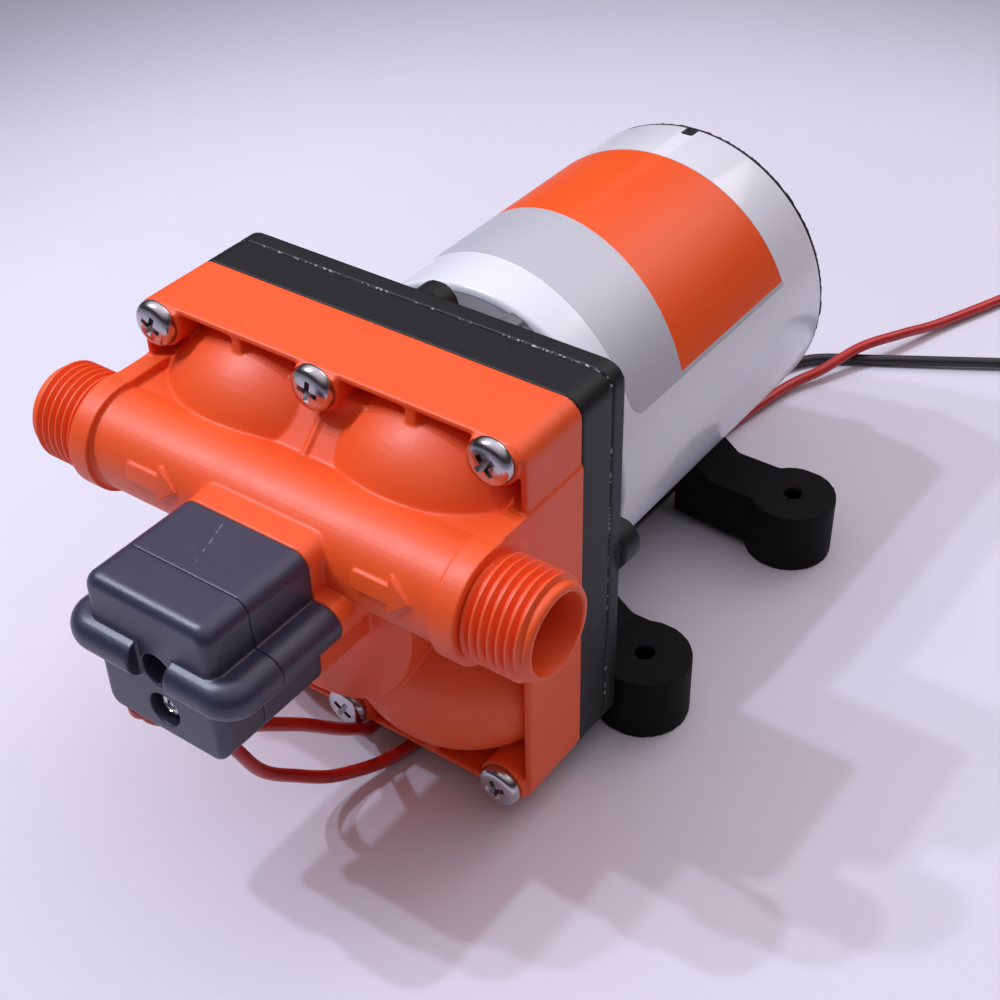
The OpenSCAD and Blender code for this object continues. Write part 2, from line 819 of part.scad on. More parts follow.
// The bell's wall across the pump: outer ribs and the two bolt bosses in one outline
module bell_section() {
    ring(bell_r, bell_r - bell_wall);
    for (i = [0:bell_ribs - 1]) rotate((i + 0.5) * 360 / bell_ribs)
        translate([-rib_w, bell_r - bell_wall / 2]) square([2 * rib_w, bell_wall / 2 + lead_in]);
    intersection() {
        for (s = SIDES) translate([0, s * bolt_up]) circle(2 * bolt_r);
        circle(bell_r - bell_wall / 2);
    }
}

module front_bell() {
    color("darkgray") on_axis() difference() {
        union() {
            along_y(y_back, bell_l - seat_gap) bell_section();
            along_y(y_bell_floor, bell_floor) ring(can_in - seat_gap, bell_hole_r);
        }
        rod_y([0, 0], bell_seat_r, y_bearing, bell_floor);
        for (s = SIDES) rod_y([0, s * bolt_up], bolt_r + slip_gap, y_back - cut,
            bell_l + bell_floor + cut);
    }
}

module front_bearing() {
    color("lightsteelblue") on_axis() along_y(y_bearing, bearing_w) ring(bell_seat_r, shaft_r + run_gap);
}

module motor_can() {
    color("white") on_axis() difference() {
        along_y(y_can, can_l) ring(can_r, can_in);
        block([-notch_w / 2, y_rear - notch_l, can_in - cut], [notch_w / 2, y_rear + cut, can_r + cut]);
    }
}

module magnets() {
    color("darkslategray") on_axis() for (s = [0, 180])
        translate([0, y_core + core_l / 2 - magnet_l / 2, 0]) rotate([-90, s - magnet_angle / 2, 0])
            rotate_extrude(angle = magnet_angle)
            translate([magnet_in, 0]) square([can_in - seat_gap - magnet_in, magnet_l]);
}

module brush_slot(grow) {
    y = y_commutator + commutator_l / 2;
    block([0, y - brush_l / 2 - grow, -brush_w / 2 - grow], [holder_out - holder_wall,
        y + brush_l / 2 + grow, brush_w / 2 + grow]);
}

module brush_card() {
    color("saddlebrown") on_axis() difference() {
        union() {
            along_y(y_card, card_t) ring(can_in - slip_gap, card_hole_r);
            for (s = [0, 180]) rotate([0, s, 0])
                block([commutator_r + holder_wall,
                    y_commutator + commutator_l / 2 - brush_l / 2 - holder_wall,
                    -brush_w / 2 - holder_wall],
                    [holder_out, y_card + cut, brush_w / 2 + holder_wall]);
        }
        for (s = [0, 180]) rotate([0, s, 0]) brush_slot(seat_gap);
        for (s = SIDES) rod_y([0, s * bolt_up], bolt_r + slip_gap, y_card - cut, card_t + 2 * cut);
    }
}

module brushes() {
    color("black") on_axis() for (s = [0, 180]) rotate([0, s, 0]) difference() {
        intersection() {
            brush_slot(0);
            rod_x(0, y_commutator + commutator_l / 2, 0, 2 * brush_w, brush_out);
        }
        rod_y([0, 0], commutator_r + seat_gap, y_commutator - cut, commutator_l + 2 * cut);
    }
}

module brush_springs() {
    color("goldenrod") on_axis() for (s = [0, 180]) rotate([0, s, 0])
        rod_x(brush_out, y_commutator + commutator_l / 2, 0, spring_r,
            holder_out - holder_wall - brush_out);
}

module rear_end_cap() {
    color("black") on_axis() difference() {
        union() {
            rod_y([0, 0], can_in - seat_gap, y_card + card_t, y_rear - y_card - card_t);
            rod_y([0, 0], can_r - slip_gap, y_rear, cap_lip);
            block([slip_gap - notch_w / 2, y_rear - notch_l + slip_gap, can_in - cut],
                [notch_w / 2 - slip_gap, y_rear + cut / 2, can_r - slip_gap]);
        }
        rod_y([0, 0], bush_r, y_card, y_rear + cap_lip - cap_back - y_card);
        for (s = SIDES) rod_y([0, s * bolt_up], bolt_r + slip_gap, y_card, can_l);
        for (x = grommet_x) rod_y([x, -grommet_down], grommet_r, y_card, can_l);
    }
}

module rear_bearing() {
    color("darkgoldenrod") on_axis() along_y(y_card + card_t + slip_gap,
        y_rear + cap_lip - cap_back - y_card - card_t - slip_gap)
        ring(bush_r, shaft_r + run_gap);
}

module motor_bolts() {
    color("silver") on_axis() for (s = SIDES) {
        rod_y([0, s * bolt_up], bolt_r, y_back - bolt_end, y_rear + cap_lip + bolt_end - y_back);
        along_y(y_rear + cap_lip, bolt_head_h) translate([0, s * bolt_up]) circle(bolt_head_r, $fn = 6);
    }
}

module lead_grommets() {
    color("black") on_axis() for (x = grommet_x) {
        rod_y([x, -grommet_down], grommet_r, y_card + card_t + cut,
            y_rear + cap_lip - y_card - card_t - cut);
        rod_y([x, -grommet_down], grommet_flange_r, y_rear + cap_lip, grommet_flange_t);
    }
}

module bracket_tab(grow) {
    block([plate_half - cut, -tab_w / 2 - grow, plate_z - grow],
        [tab_reach + grow, tab_w / 2 + grow, plate_z + bracket_t + grow]);
}

module mount_bracket() {
    color("black") difference() {
        union() {
            block([-plate_half, -neck_y - plate_over, plate_z],
                [plate_half, neck_y + plate_over, plate_z + bracket_t]);
            for (s = SIDES) {
                block([-saddle_half, s * neck_y - neck_w / 2, plate_z],
                    [saddle_half, s * neck_y + neck_w / 2, axis_z - can_in + saddle_half / 2]);
                for (m = [0, 1]) translate([0, s * neck_y, 0]) mirror([m, 0, 0]) bracket_tab(0);
            }
        }
        on_axis() rod_y([0, 0], can_r + seat_gap, y_back, bell_l + can_l);
        block([-foot_dx, -can_l, -cut], [foot_dx, y_back + mid_boss_l + screw_gap, axis_z]);
    }
}

// One foot, on the +X side: its neck climbs to the can from slope and reaches back that far
module foot(slope, back) {
    difference() {
        union() {
            translate([neck_x, 0, 0]) cylinder(r = foot_r, h = foot_h);
            translate([0, back, 0]) rotate([90, 0, 0]) linear_extrude(neck_w / 2 + back)
                polygon([[neck_x, neck_lift], [neck_x, foot_h], [slope, foot_h],
                    [slope - slope_run, foot_h + slope_up], [neck_in, foot_h + slope_up],
                    [neck_in, 2 * neck_lift]]);
        }
        translate([neck_x, 0, -cut]) cylinder(r = foot_hole_r, h = foot_h + 2 * cut);
        on_axis() rod_y([0, 0], can_r + seat_gap, -can_l, 2 * can_l);
        bracket_tab(seat_gap);
    }
}

module front_foot() {
    translate([0, -neck_y, 0]) foot(front_slope, front_neck_back);
}

module rear_foot() {
    translate([0, neck_y, 0]) foot(rear_slope, neck_w / 2);
}

module foot_front_left() {
    color("#222222") mirror([1, 0, 0]) front_foot();
}

module foot_front_right() {
    color("#222222") front_foot();
}

module foot_rear_left() {
    color("#222222") mirror([1, 0, 0]) rear_foot();
}

module foot_rear_right() {
    color("#222222") rear_foot();
}

// Places what is drawn round the switch's own axis
module on_switch() {
    translate([switch_side, 0, switch_z]) children();
}

// The rounded ledge round the switch box between two planes
module switch_ledge(y, l) {
    intersection() {
        along_y(y, l) translate([0, ledge_up]) stadium(ledge_w, ledge_h);
        translate([0, y_front - ledge_nose + ledge_w / 2, -switch_h]) linear_extrude(2 * switch_h)
            rounded_rect(ledge_w, ledge_w, ledge_corner);
    }
}

module switch_base() {
    color("#24262c") on_switch() difference() {
        union() {
            difference() {
                union() {
                    along_y(y_split, base_d) rounded_rect(switch_w, switch_h, switch_corner);
                    switch_ledge(y_split, base_d);
                }
                along_y(y_split - cut, base_d - rear_wall + cut)
                    square([switch_w - 2 * switch_wall, cavity_h], center = true);
            }
            rod_y(cover_screw_at, base_column_r, y_split, base_d - rear_wall + cut);
        }
        rod_y(set_line, disc_r + seat_gap, y_disc, disc_t + cut);
        rod_y(set_line, plunger_bore_r, y_split, base_d);
        rod_y(cover_screw_at, cover_screw_r + slip_gap, y_split - cut, base_d + 2 * cut);
        blade(back_blade_x, back_blade_y, slip_gap, 0);
    }
}

module switch_cover() {
    color("#2b2d34") on_switch() difference() {
        union() {
            difference() {
                union() {
                    along_y(y_front, cover_d) rounded_rect(switch_w, switch_h, switch_corner);
                    difference() {
                        switch_ledge(y_front - ledge_nose, cover_d + ledge_nose);
                        block([ledge_gap[0], y_front - ledge_nose - cut, -switch_h],
                            [ledge_gap[1], y_front, switch_h]);
                    }
                }
                along_y(y_front + switch_wall - slip_gap, cover_d)
                    square([switch_w - 2 * switch_wall, cavity_h], center = true);
            }
            rod_y(set_line, adjust_boss_r, y_front, cover_d);
            rod_y(cover_screw_at, cover_boss_r, y_front, cover_d);
        }
        rod_y(set_line, adjust_r + seat_gap, y_front - cut, cover_d + 2 * cut);
        rod_y(cover_screw_at, counterbore_r, y_front - cut, counterbore_d + cut);
        rod_y(cover_screw_at, cover_screw_r + slip_gap, y_front - cut, cover_d + 2 * cut);
        blade(front_blade_x, front_blade_y, slip_gap, 0);
    }
}

module switch_diaphragm() {
    color("black") on_switch() rod_y(set_line, disc_r, y_disc, disc_t);
}

module switch_plunger() {
    color("white") on_switch() difference() {
        union() {
            rod_y(set_line, plunger_r, y_plunger - plunger_t, plunger_t);
            rod_y(set_line, cup_r, y_cup, cup_t + cut);
            block([-arm_w / 2, y_cup, cup_r / 2], [arm_w / 2, y_cup + arm_t, arm_top]);
        }
        rod_y(set_line, spring_pocket_r, y_cup - cut, spring_pocket_d + cut);
    }
}

module plunger_spring() {
    y = y_adjust + adjust_l + seat_gap;
    color("silver") on_switch() along_y(y, y_cup + spring_pocket_d - y)
        translate(set_line) ring(plunger_spring_r, plunger_spring_r - plunger_wire);
}

module adjusting_screw() {
    color("dimgray") on_switch() difference() {
        rod_y(set_line, adjust_r, y_adjust, adjust_l);
        along_y(y_adjust - cut, adjust_socket_d + cut) translate(set_line)
            circle(adjust_socket_r, $fn = 6);
    }
}

module cover_screw() {
    y = y_front + counterbore_d;
    color("silver") on_switch() difference() {
        union() {
            rod_y(cover_screw_at, cover_screw_head_r, y - cover_screw_head_h, cover_screw_head_h);
            rod_y(cover_screw_at, cover_screw_r, y - cut, y_saddle + cover_screw_bite - y);
        }
        for (a = [0, 90]) translate([cover_screw_at[0], y - cover_screw_head_h, cover_screw_at[1]])
            rotate([0, a, 0])
            cube([cover_recess_w, recess_d, cover_recess_t], center = true);
    }
}

module microswitch() {
    color("dimgray") on_switch() difference() {
        block([-micro_w / 2, y_micro - micro_d, cavity_h / 2 - micro_h - slip_gap],
            [micro_w / 2, y_micro, cavity_h / 2 - slip_gap]);
        rod_y([0, button_up], button_r + slip_gap, y_micro - button_l, button_l + cut);
    }
}

module microswitch_button() {
    color("red") on_switch() rod_y([0, button_up], button_r, y_button - button_l, button_l);
}

// A terminal blade that hangs through the bottom of the switch box, up to top
module blade(x, y, grow, top) {
    block([x - blade_w / 2 - grow, y - blade_t / 2 - grow, blade_end - switch_z],
        [x + blade_w / 2 + grow, y + blade_t / 2 + grow, top]);
}

module switch_terminals() {
    color("gold") on_switch() {
        blade(front_blade_x, front_blade_y, 0, front_blade_up + blade_t);
        block([front_blade_x - blade_w / 2, front_blade_y - blade_t / 2, front_blade_up],
            [cut - micro_w / 2, y_micro - micro_d - seat_gap, front_blade_up + blade_t]);
        blade(back_blade_x, back_blade_y, 0, cavity_h / 2 - micro_h - slip_gap - seat_gap);
    }
}

module terminal_sleeves() {
    color("firebrick") for (p = [[front_blade_x, front_blade_y], [back_blade_x, back_blade_y]])
        difference() {
        translate([p[0] + switch_side, p[1], sleeve_low])
            cylinder(r = sleeve_r, h = sleeve_high - sleeve_low);
        on_switch() blade(p[0], p[1], seat_gap, 0);
    }
}

// A smooth curve through the points of a route, with steps rings to each span
function bend(a, b, c, d, t) =
    b + t * (c - a) / 2 + t * t * (2 * a - 5 * b + 4 * c - d) / 2 + t * t * t * (3 * b - a - 3 * c + d)
        / 2;
function curve(route, steps) = let (n = len(route) - 1) concat(
    [for (i = [0:n - 1], k = [0:steps - 1])
        bend(route[max(i - 1, 0)], route[i], route[i + 1], route[min(i + 2, n)], k / steps)], [route[n]]);
function unit(v) = v / norm(v);
function heading(line, i) = unit(line[min(i + 1, len(line) - 1)] - line[max(i - 1, 0)]);

// A lead swept along its route as one closed tube; side is a direction that the route never takes
module lead(route, side, sides = 8, steps = 2) {
    line = curve(route, steps);
    rings = len(line);
    corners = [for (i = [0:rings - 1]) let (along = heading(line, i), u = unit(cross(side, along)),
        v = cross(along, u))
        for (k = [0:sides - 1]) line[i] + lead_r * (cos(k * 360 / sides) * u + sin(k * 360 / sides) * v)];
    walls = [for (i = [0:rings - 2], k = [0:sides - 1]) let (a = i * sides + k,
        b = i * sides + (k + 1) % sides)
        each [[a, a + sides, b], [b, a + sides, b + sides]]];
    caps = [for (k = [1:sides - 2]) each [[0, k, k + 1], [(rings - 1) * sides,
        (rings - 1) * sides + k + 1, (rings - 1) * sides + k]]];
    polyhedron(corners, concat(walls, caps));
}

module switch_lead() {
    color("red") lead(switch_route, [1, 0, 0]);
}

module supply_lead() {
    color("red") lead(supply_route, [1, 0, 0]);
}

module return_lead() {
    color("black") lead(return_route, [0, 0, 1]);
}

pump_head();
head_seal();
valve_plate();
inlet_valves();
outlet_valve();
diaphragm();
drive_housing();
head_screws();
pistons();
piston_screws();
wobble_plate();
hub_bearing();
eccentric_hub();
hub_set_screw();
motor_shaft();
armature_core();
armature_winding();
commutator();
front_bell();
front_bearing();
motor_can();
magnets();
brush_card();
brushes();
brush_springs();
rear_end_cap();
rear_bearing();
motor_bolts();
lead_grommets();
mount_bracket();
foot_front_left();
foot_front_right();
foot_rear_left();
foot_rear_right();
switch_base();
switch_cover();
switch_diaphragm();
switch_plunger();
plunger_spring();
adjusting_screw();
cover_screw();
microswitch();
microswitch_button();
switch_terminals();
terminal_sleeves();
switch_lead();
supply_lead();
return_lead();
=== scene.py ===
# A caravan water pump: four diaphragm chambers under an orange head, a pressure switch on its front,
# a white 12 V motor behind it and four rubber feet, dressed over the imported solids.
import math

import bmesh
import bpy
from mathutils import Matrix, Vector


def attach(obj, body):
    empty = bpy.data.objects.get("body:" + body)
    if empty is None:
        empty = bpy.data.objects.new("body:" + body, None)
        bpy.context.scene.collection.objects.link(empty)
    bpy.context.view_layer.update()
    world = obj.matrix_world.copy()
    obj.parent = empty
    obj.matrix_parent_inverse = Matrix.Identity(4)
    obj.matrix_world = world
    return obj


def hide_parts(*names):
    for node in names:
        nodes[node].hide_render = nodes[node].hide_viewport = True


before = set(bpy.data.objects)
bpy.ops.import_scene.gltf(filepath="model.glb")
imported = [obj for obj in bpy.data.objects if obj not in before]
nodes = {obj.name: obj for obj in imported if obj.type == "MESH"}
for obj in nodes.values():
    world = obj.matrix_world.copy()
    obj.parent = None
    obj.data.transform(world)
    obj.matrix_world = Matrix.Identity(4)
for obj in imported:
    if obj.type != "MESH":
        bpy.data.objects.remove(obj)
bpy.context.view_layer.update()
MM = 0.001
AXIS_Z = 50.6 * MM
COMMUTATOR_BARS = 24


# The armature turns in the middle of the motor: a ground steel shaft, a stack of punched iron
# sheets, turns of enamelled copper in its slots and a copper commutator, all pressed on the shaft.
class Paint:
    """A socket of a shader: sums on it add Math nodes, and node() adds any other node."""

    def __init__(self, tree, socket):
        self.tree = tree
        self.socket = socket

    def feed(self, socket, value):
        if isinstance(value, Paint):
            self.tree.links.new(value.socket, socket)
        else:
            socket.default_value = value

    def node(self, kind, settings=None, sockets=None, out=0):
        made = self.tree.nodes.new("ShaderNode" + kind)
        for name, value in (settings or {}).items():
            setattr(made, name, value)
        for name, value in (sockets or {}).items():
            self.feed(made.inputs[name], value)
        return Paint(self.tree, made.outputs[out])

    def sum(self, operation, first, second):
        return self.node("Math", {"operation": operation}, {0: first, 1: second})

    def __add__(self, other):
        return self.sum("ADD", self, other)

    def __radd__(self, other):
        return self.sum("ADD", other, self)

    def __sub__(self, other):
        return self.sum("SUBTRACT", self, other)

    def __rsub__(self, other):
        return self.sum("SUBTRACT", other, self)

    def __mul__(self, other):
        return self.sum("MULTIPLY", self, other)

    def __rmul__(self, other):
        return self.sum("MULTIPLY", other, self)

    def __abs__(self):
        return self.sum("ABSOLUTE", self, 0.0)

    def step(self, low, high):
        """A soft step from 0 at low to 1 at high."""
        return self.node("MapRange", {"interpolation_type": "SMOOTHSTEP"},
                         {"Value": self, "From Min": low, "From Max": high})

    def mix(self, first, second):
        """The first colour where this is 0, the second where it is 1."""
        return self.node("Mix", {"data_type": "RGBA"}, {0: self, 6: first, 7: second}, out=2)

    def axes(self):
        """The three coordinates of a place."""
        return [self.node("SeparateXYZ", None, {"Vector": self}, out=i) for i in range(3)]

    def noise(self, period, detail=2.0, stretch=(1, 1, 1)):
        """Clouds of the given period in millimetres, drawn out along the axes by stretch."""
        spread = self.node("Mapping", None, {"Vector": self, "Scale": tuple(1 / s for s in stretch)})
        return self.node("TexNoise", None, {"Vector": spread, "Scale": 1 / (period * MM), "Detail": detail})

    def specks(self, period, size):
        """A few dots, one to a cell of the given period in millimetres, where a cell has one."""
        cell = {"Vector": self, "Scale": 1 / (period * MM)}
        chance = self.node("SeparateColor", None, {"Color": self.node("TexVoronoi", None, cell, out=1)})
        return (1 - self.node("TexVoronoi", None, cell).step(size * 0.5, size)) * chance.step(0.72, 0.78)

    def bump(self, depth, strength=1.0):
        """The normal of a surface that this raises by depth in millimetres."""
        return self.node("Bump", None, {"Height": self, "Distance": depth * MM, "Strength": strength})


def shade(hex_colour):
    """A shader colour from the usual six hex digits."""
    parts = [int(hex_colour[i:i + 2], 16) / 255 for i in (0, 2, 4)]
    return tuple(p / 12.92 if p < 0.04045 else ((p + 0.055) / 1.055) ** 2.4 for p in parts) + (1.0,)


def finish(name, paint, **fixed):
    """A material: paint gives what varies over the surface, fixed what is the same all over it."""
    material = bpy.data.materials.new(name)
    material.use_nodes = True
    tree = material.node_tree
    shader = tree.nodes["Principled BSDF"]
    for socket, value in fixed.items():
        shader.inputs[socket.replace("_", " ").title().replace("Ior", "IOR")].default_value = value
    place = Paint(tree, tree.nodes.new("ShaderNodeTexCoord").outputs["Object"])
    for socket, value in paint(place).items():
        place.feed(shader.inputs[socket], value)
    return material


def dress(material, *names):
    """Gives solids of the frame a finish."""
    for name in names:
        nodes[name].data.materials.clear()
        nodes[name].data.materials.append(material)


def ground_steel(place):
    lines = place.noise(0.25, 3, (6, 0.3, 6))
    return {"Base Color": lines.mix(shade("7d7f83"), shade("a9abaf")), "Roughness": 0.24 + 0.2 * lines,
            "Normal": lines.bump(0.01, 0.4)}


def iron_sheets(place):
    y = place.axes()[1]
    sheets = y.sum("PINGPONG", y, 0.25 * MM) * (4 / MM)
    rust = place.noise(6, 4)
    return {"Base Color": rust.step(0.52, 0.7).mix(shade("4d5054"), shade("5f5148")),
            "Roughness": 0.5 + 0.2 * rust, "Normal": sheets.bump(0.08, 0.6)}


def enamelled_wire(place):
    strands = place.node("TexWave", {"wave_type": "RINGS", "rings_direction": "Y"},
                         {"Vector": place, "Scale": 320.0, "Distortion": 1.5, "Detail": 1.0})
    tone = place.noise(4)
    return {"Base Color": tone.mix(shade("8e4a22"), shade("c27a3e")), "Roughness": 0.28 + 0.2 * tone,
            "Normal": strands.bump(0.25, 0.7)}


def copper_bars(place):
    x, _, z = place.axes()
    bar = x.sum("ARCTAN2", x, z - AXIS_Z) * (COMMUTATOR_BARS / math.tau)
    bars = bar.sum("PINGPONG", bar, 0.5).step(0.0, 0.06)
    wear = place.noise(0.4, 3, (1, 0.2, 1))
    return {"Base Color": bars.mix(shade("2b1d14"), shade("b87548")), "Roughness": 0.3 + 0.25 * wear,
            "Normal": bars.bump(0.2)}


STEEL = finish("ground steel", ground_steel, metallic=1.0)
dress(STEEL, "motor_shaft", "front_bearing", "hub_bearing", "hub_set_screw", "piston_screws",
      "plunger_spring", "adjusting_screw")
dress(finish("stacked iron sheets", iron_sheets, metallic=0.8), "armature_core")
dress(finish("enamelled copper wire", enamelled_wire, metallic=0.6, coat_weight=0.5), "armature_winding")
dress(finish("commutator copper", copper_bars, metallic=1.0), "commutator")


# Two ferrite magnets are glued in the can, and a brown laminate card carries the carbon brushes with
# their brass springs. The rear bearing is a sintered bronze bush.
def fired_ferrite(place):
    pores = place.noise(0.5, 5)
    return {"Base Color": pores.mix(shade("26272a"), shade("3b3c40")), "Roughness": 0.62 + 0.2 * pores,
            "Normal": pores.bump(0.06, 0.7)}


def paper_laminate(place):
    fibre = place.noise(0.5, 4, (5, 1, 0.6))
    return {"Base Color": fibre.mix(shade("5a3419"), shade("7c4c27")), "Roughness": 0.42 + 0.2 * fibre,
            "Normal": fibre.bump(0.03, 0.5)}


def pressed_carbon(place):
    grain = place.noise(0.15, 3)
    return {"Base Color": grain.mix(shade("1c1c1d"), shade("37373a")), "Roughness": 0.45 + 0.3 * grain,
            "Normal": grain.bump(0.03, 0.6)}


def drawn_brass(place):
    lines = place.noise(0.3, 3, (1, 5, 1))
    return {"Base Color": lines.mix(shade("9a7a35"), shade("c9a55a")), "Roughness": 0.26 + 0.22 * lines,
            "Normal": lines.bump(0.01, 0.4)}


BRASS = finish("drawn brass", drawn_brass, metallic=1.0)
dress(finish("fired ferrite", fired_ferrite), "magnets")
dress(finish("brown paper laminate", paper_laminate), "brush_card")
dress(finish("pressed carbon", pressed_carbon), "brushes")
dress(BRASS, "brush_springs", "rear_bearing", "switch_terminals")

# The motor can is a rolled steel tube in glossy white enamel, with a notch in its rear edge for the
# cap's key. A thin film label is stuck on top of it: a plain silver band and a plain orange panel.
CAN_FRONT, CAN_REAR, CAN_R, CAN_WALL = -28.7, 57.5, 36.6, 2.0
NOTCH_W, NOTCH_L, NOTCH_LOW, NOTCH_HIGH, NOTCH_CORNER = 3.2, 3.7, 80.0, 90.0, 0.7
LABEL_FRONT, PANEL_FRONT, PANEL_REAR = -15.8, 6.2, 41.7
LABEL_SLANT, PANEL_SLANT = 0.081, 0.125
LABEL_HALF, PANEL_HALF, LABEL_CORNER = 68.0, 66.5, 4.0


def turn(bm, degrees, axis):
    """Turns a bmesh about the origin."""
    matrix = Matrix.Rotation(math.radians(degrees), 3, axis)
    bmesh.ops.rotate(bm, verts=bm.verts, cent=(0, 0, 0), matrix=matrix)


def move(bm, place):
    """Moves a bmesh by a place in millimetres."""
    bmesh.ops.translate(bm, verts=bm.verts, vec=Vector(place) * MM)


def turned(profile, centre, steps, axis="Y"):
    """A bmesh spun from pairs of radius and place along the axis, in millimetres."""
    bm = bmesh.new()
    line = [bm.verts.new((r * MM, a * MM, 0)) for r, a in profile]
    edges = [bm.edges.new(pair) for pair in zip(line, line[1:])]
    if profile[0][0] > 0:
        edges.append(bm.edges.new((line[-1], line[0])))
    bmesh.ops.spin(bm, geom=line + edges, cent=(0, 0, 0), axis=(0, 1, 0), angle=math.tau, steps=steps,
                   use_merge=True)
    bmesh.ops.remove_doubles(bm, verts=bm.verts, dist=1e-6)
    if axis == "X":
        turn(bm, -90, "Z")
    if axis == "Z":
        turn(bm, 90, "X")
    move(bm, centre)
    bmesh.ops.recalc_face_normals(bm, faces=bm.faces)
    return bm


def block(low, high):
    """A bmesh box between two corners in millimetres."""
    bm = bmesh.new()
    bmesh.ops.create_cube(bm, size=1.0)
    bmesh.ops.scale(bm, verts=bm.verts, vec=[(b - a) * MM for a, b in zip(low, high)])
    move(bm, [(a + b) / 2 for a, b in zip(low, high)])
    return bm


def close(a, b):
    """Whether two lengths in millimetres are the same."""
    return abs(a - b) < 0.01


def carve(stock, operation, *tools):
    """The stock after a boolean with each of the tools, all of them bmeshes that are used up."""
    objects = []
    for bm in (stock, *tools):
        mesh = bpy.data.meshes.new("stock")
        bm.to_mesh(mesh)
        bm.free()
        objects.append(bpy.data.objects.new("stock", mesh))
        bpy.context.scene.collection.objects.link(objects[-1])
    for tool in objects[1:]:
        cut = objects[0].modifiers.new("cut", "BOOLEAN")
        cut.operation, cut.object, cut.solver = operation, tool, "EXACT"
    bpy.context.view_layer.update()
    done = bpy.data.meshes.new_from_object(objects[0].evaluated_get(bpy.context.evaluated_depsgraph_get()))
    for obj in objects:
        bpy.data.objects.remove(obj)
    bm = bmesh.new()
    bm.from_mesh(done)
    bpy.data.meshes.remove(done)
    return bm


def piece(name, bm, material, body, slot, *stands_for, sharp=35):
    """A finished object from a bmesh, riding on a body in place of the solids that it stands for."""
    mesh = bpy.data.meshes.new(name)
    bm.to_mesh(mesh)
    bm.free()
    mesh.materials.clear()
    mesh.materials.append(material)
    mesh.polygons.foreach_set("use_smooth", [True] * len(mesh.polygons))
    mesh.polygons.foreach_set("material_index", [0] * len(mesh.polygons))
    mesh.set_sharp_from_angle(angle=math.radians(sharp))
    obj = bpy.data.objects.new(name, mesh)
    bpy.context.scene.collection.objects.link(obj)
    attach(obj, body)
    if stands_for:
        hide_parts(*stands_for)
    return obj


def labelled_enamel(place):
    x, y, z = place.axes()
    lean = x.sum("ARCTAN2", x, z - AXIS_Z) * (180 / math.pi)
    along = y * (1 / MM)
    down = (LABEL_HALF - abs(lean)) * (CAN_R * math.pi / 180)
    ahead = y.sum("MAXIMUM", LABEL_CORNER - (along + lean * LABEL_SLANT - LABEL_FRONT), 0.0)
    below = y.sum("MAXIMUM", LABEL_CORNER - down, 0.0)
    inside = LABEL_CORNER - y.sum("POWER", ahead * ahead + below * below, 0.5)
    inside = y.sum("MINIMUM", inside, PANEL_REAR - along)
    film = inside.step(-0.1, 0.1)
    rim = 1 - abs(inside).step(0.05, 0.3)
    panel = ((along + lean * PANEL_SLANT).step(PANEL_FRONT - 0.1, PANEL_FRONT + 0.1)
             * (1 - abs(lean).step(PANEL_HALF - 0.2, PANEL_HALF + 0.2)) * film)
    band = film - panel
    peel = place.noise(2.2, 2)
    grain = place.noise(0.12, 3, (8, 1, 8))
    cloud = place.noise(25, 3)
    dust = place.specks(3.5, 0.025)
    white = cloud.mix(shade("e2e1e8"), shade("eae9ef"))
    silver = grain.mix(shade("bcbbc3"), shade("cbcad1"))
    orange = cloud.mix(shade("f2500e"), shade("f55913"))
    coat = panel.mix(band.mix(white, silver), orange)
    coat = (rim * 0.35).mix(coat, shade("8f8d98"))
    return {"Base Color": (dust * 0.4).mix(coat, shade("8d8890")),
            "Metallic": band * 0.2,
            "Roughness": 0.14 + 0.24 * film + 0.1 * band * grain + 0.06 * cloud,
            "Coat Weight": 0.3 * (1 - film),
            "Normal": (film + peel * 0.12).bump(0.08, 0.5)}


can = turned([(CAN_R - CAN_WALL, CAN_FRONT + 0.5), (CAN_R - CAN_WALL + 0.4, CAN_FRONT),
              (CAN_R - 1.0, CAN_FRONT), (CAN_R - 0.6, CAN_FRONT + 0.12), (CAN_R - 0.29, CAN_FRONT + 0.35),
              (CAN_R - 0.08, CAN_FRONT + 0.7), (CAN_R, CAN_FRONT + 1.1), (CAN_R, CAN_REAR - 0.6),
              (CAN_R - 0.07, CAN_REAR - 0.3), (CAN_R - 0.22, CAN_REAR - 0.1), (CAN_R - 0.5, CAN_REAR),
              (CAN_R - CAN_WALL + 0.3, CAN_REAR), (CAN_R - CAN_WALL, CAN_REAR - 0.3)],
             (0, 0, AXIS_Z / MM), 192)
notch = block((-NOTCH_W / 2, CAN_REAR - NOTCH_L, NOTCH_LOW), (NOTCH_W / 2, CAN_REAR + 2, NOTCH_HIGH))
upright = [e for e in notch.edges if abs(e.verts[0].co.z - e.verts[1].co.z) > 1 * MM]
bmesh.ops.bevel(notch, geom=upright, offset=NOTCH_CORNER * MM, affect="EDGES", segments=4, profile=0.5,
                material=-1)
ENAMEL = finish("white enamel with a film label", labelled_enamel, coat_roughness=0.06)
piece("white_can", carve(can, "DIFFERENCE", notch), ENAMEL, "base", "white_paint", "motor_can")


# The front bell is an aluminium casting, ribbed outside, that centres the can on the drive housing.
# Castings and mouldings keep their solids' shapes, with the edges rounded as a mould leaves them.
def moulded(obj, voxel, passes, keep=1.0):
    """Rounds an object's edges as a mould does: a skin of voxels in millimetres, smoothed in passes. Keep
    is the share of its faces that stay."""
    skin = obj.modifiers.new("skin", "REMESH")
    skin.mode, skin.voxel_size, skin.use_smooth_shade = "VOXEL", voxel * MM, True
    even = obj.modifiers.new("even", "SMOOTH")
    even.factor, even.iterations = 0.5, passes
    if keep < 1:
        thin = obj.modifiers.new("thin", "DECIMATE")
        thin.ratio = keep
    normals = obj.modifiers.new("normals", "WEIGHTED_NORMAL")
    normals.weight = 50


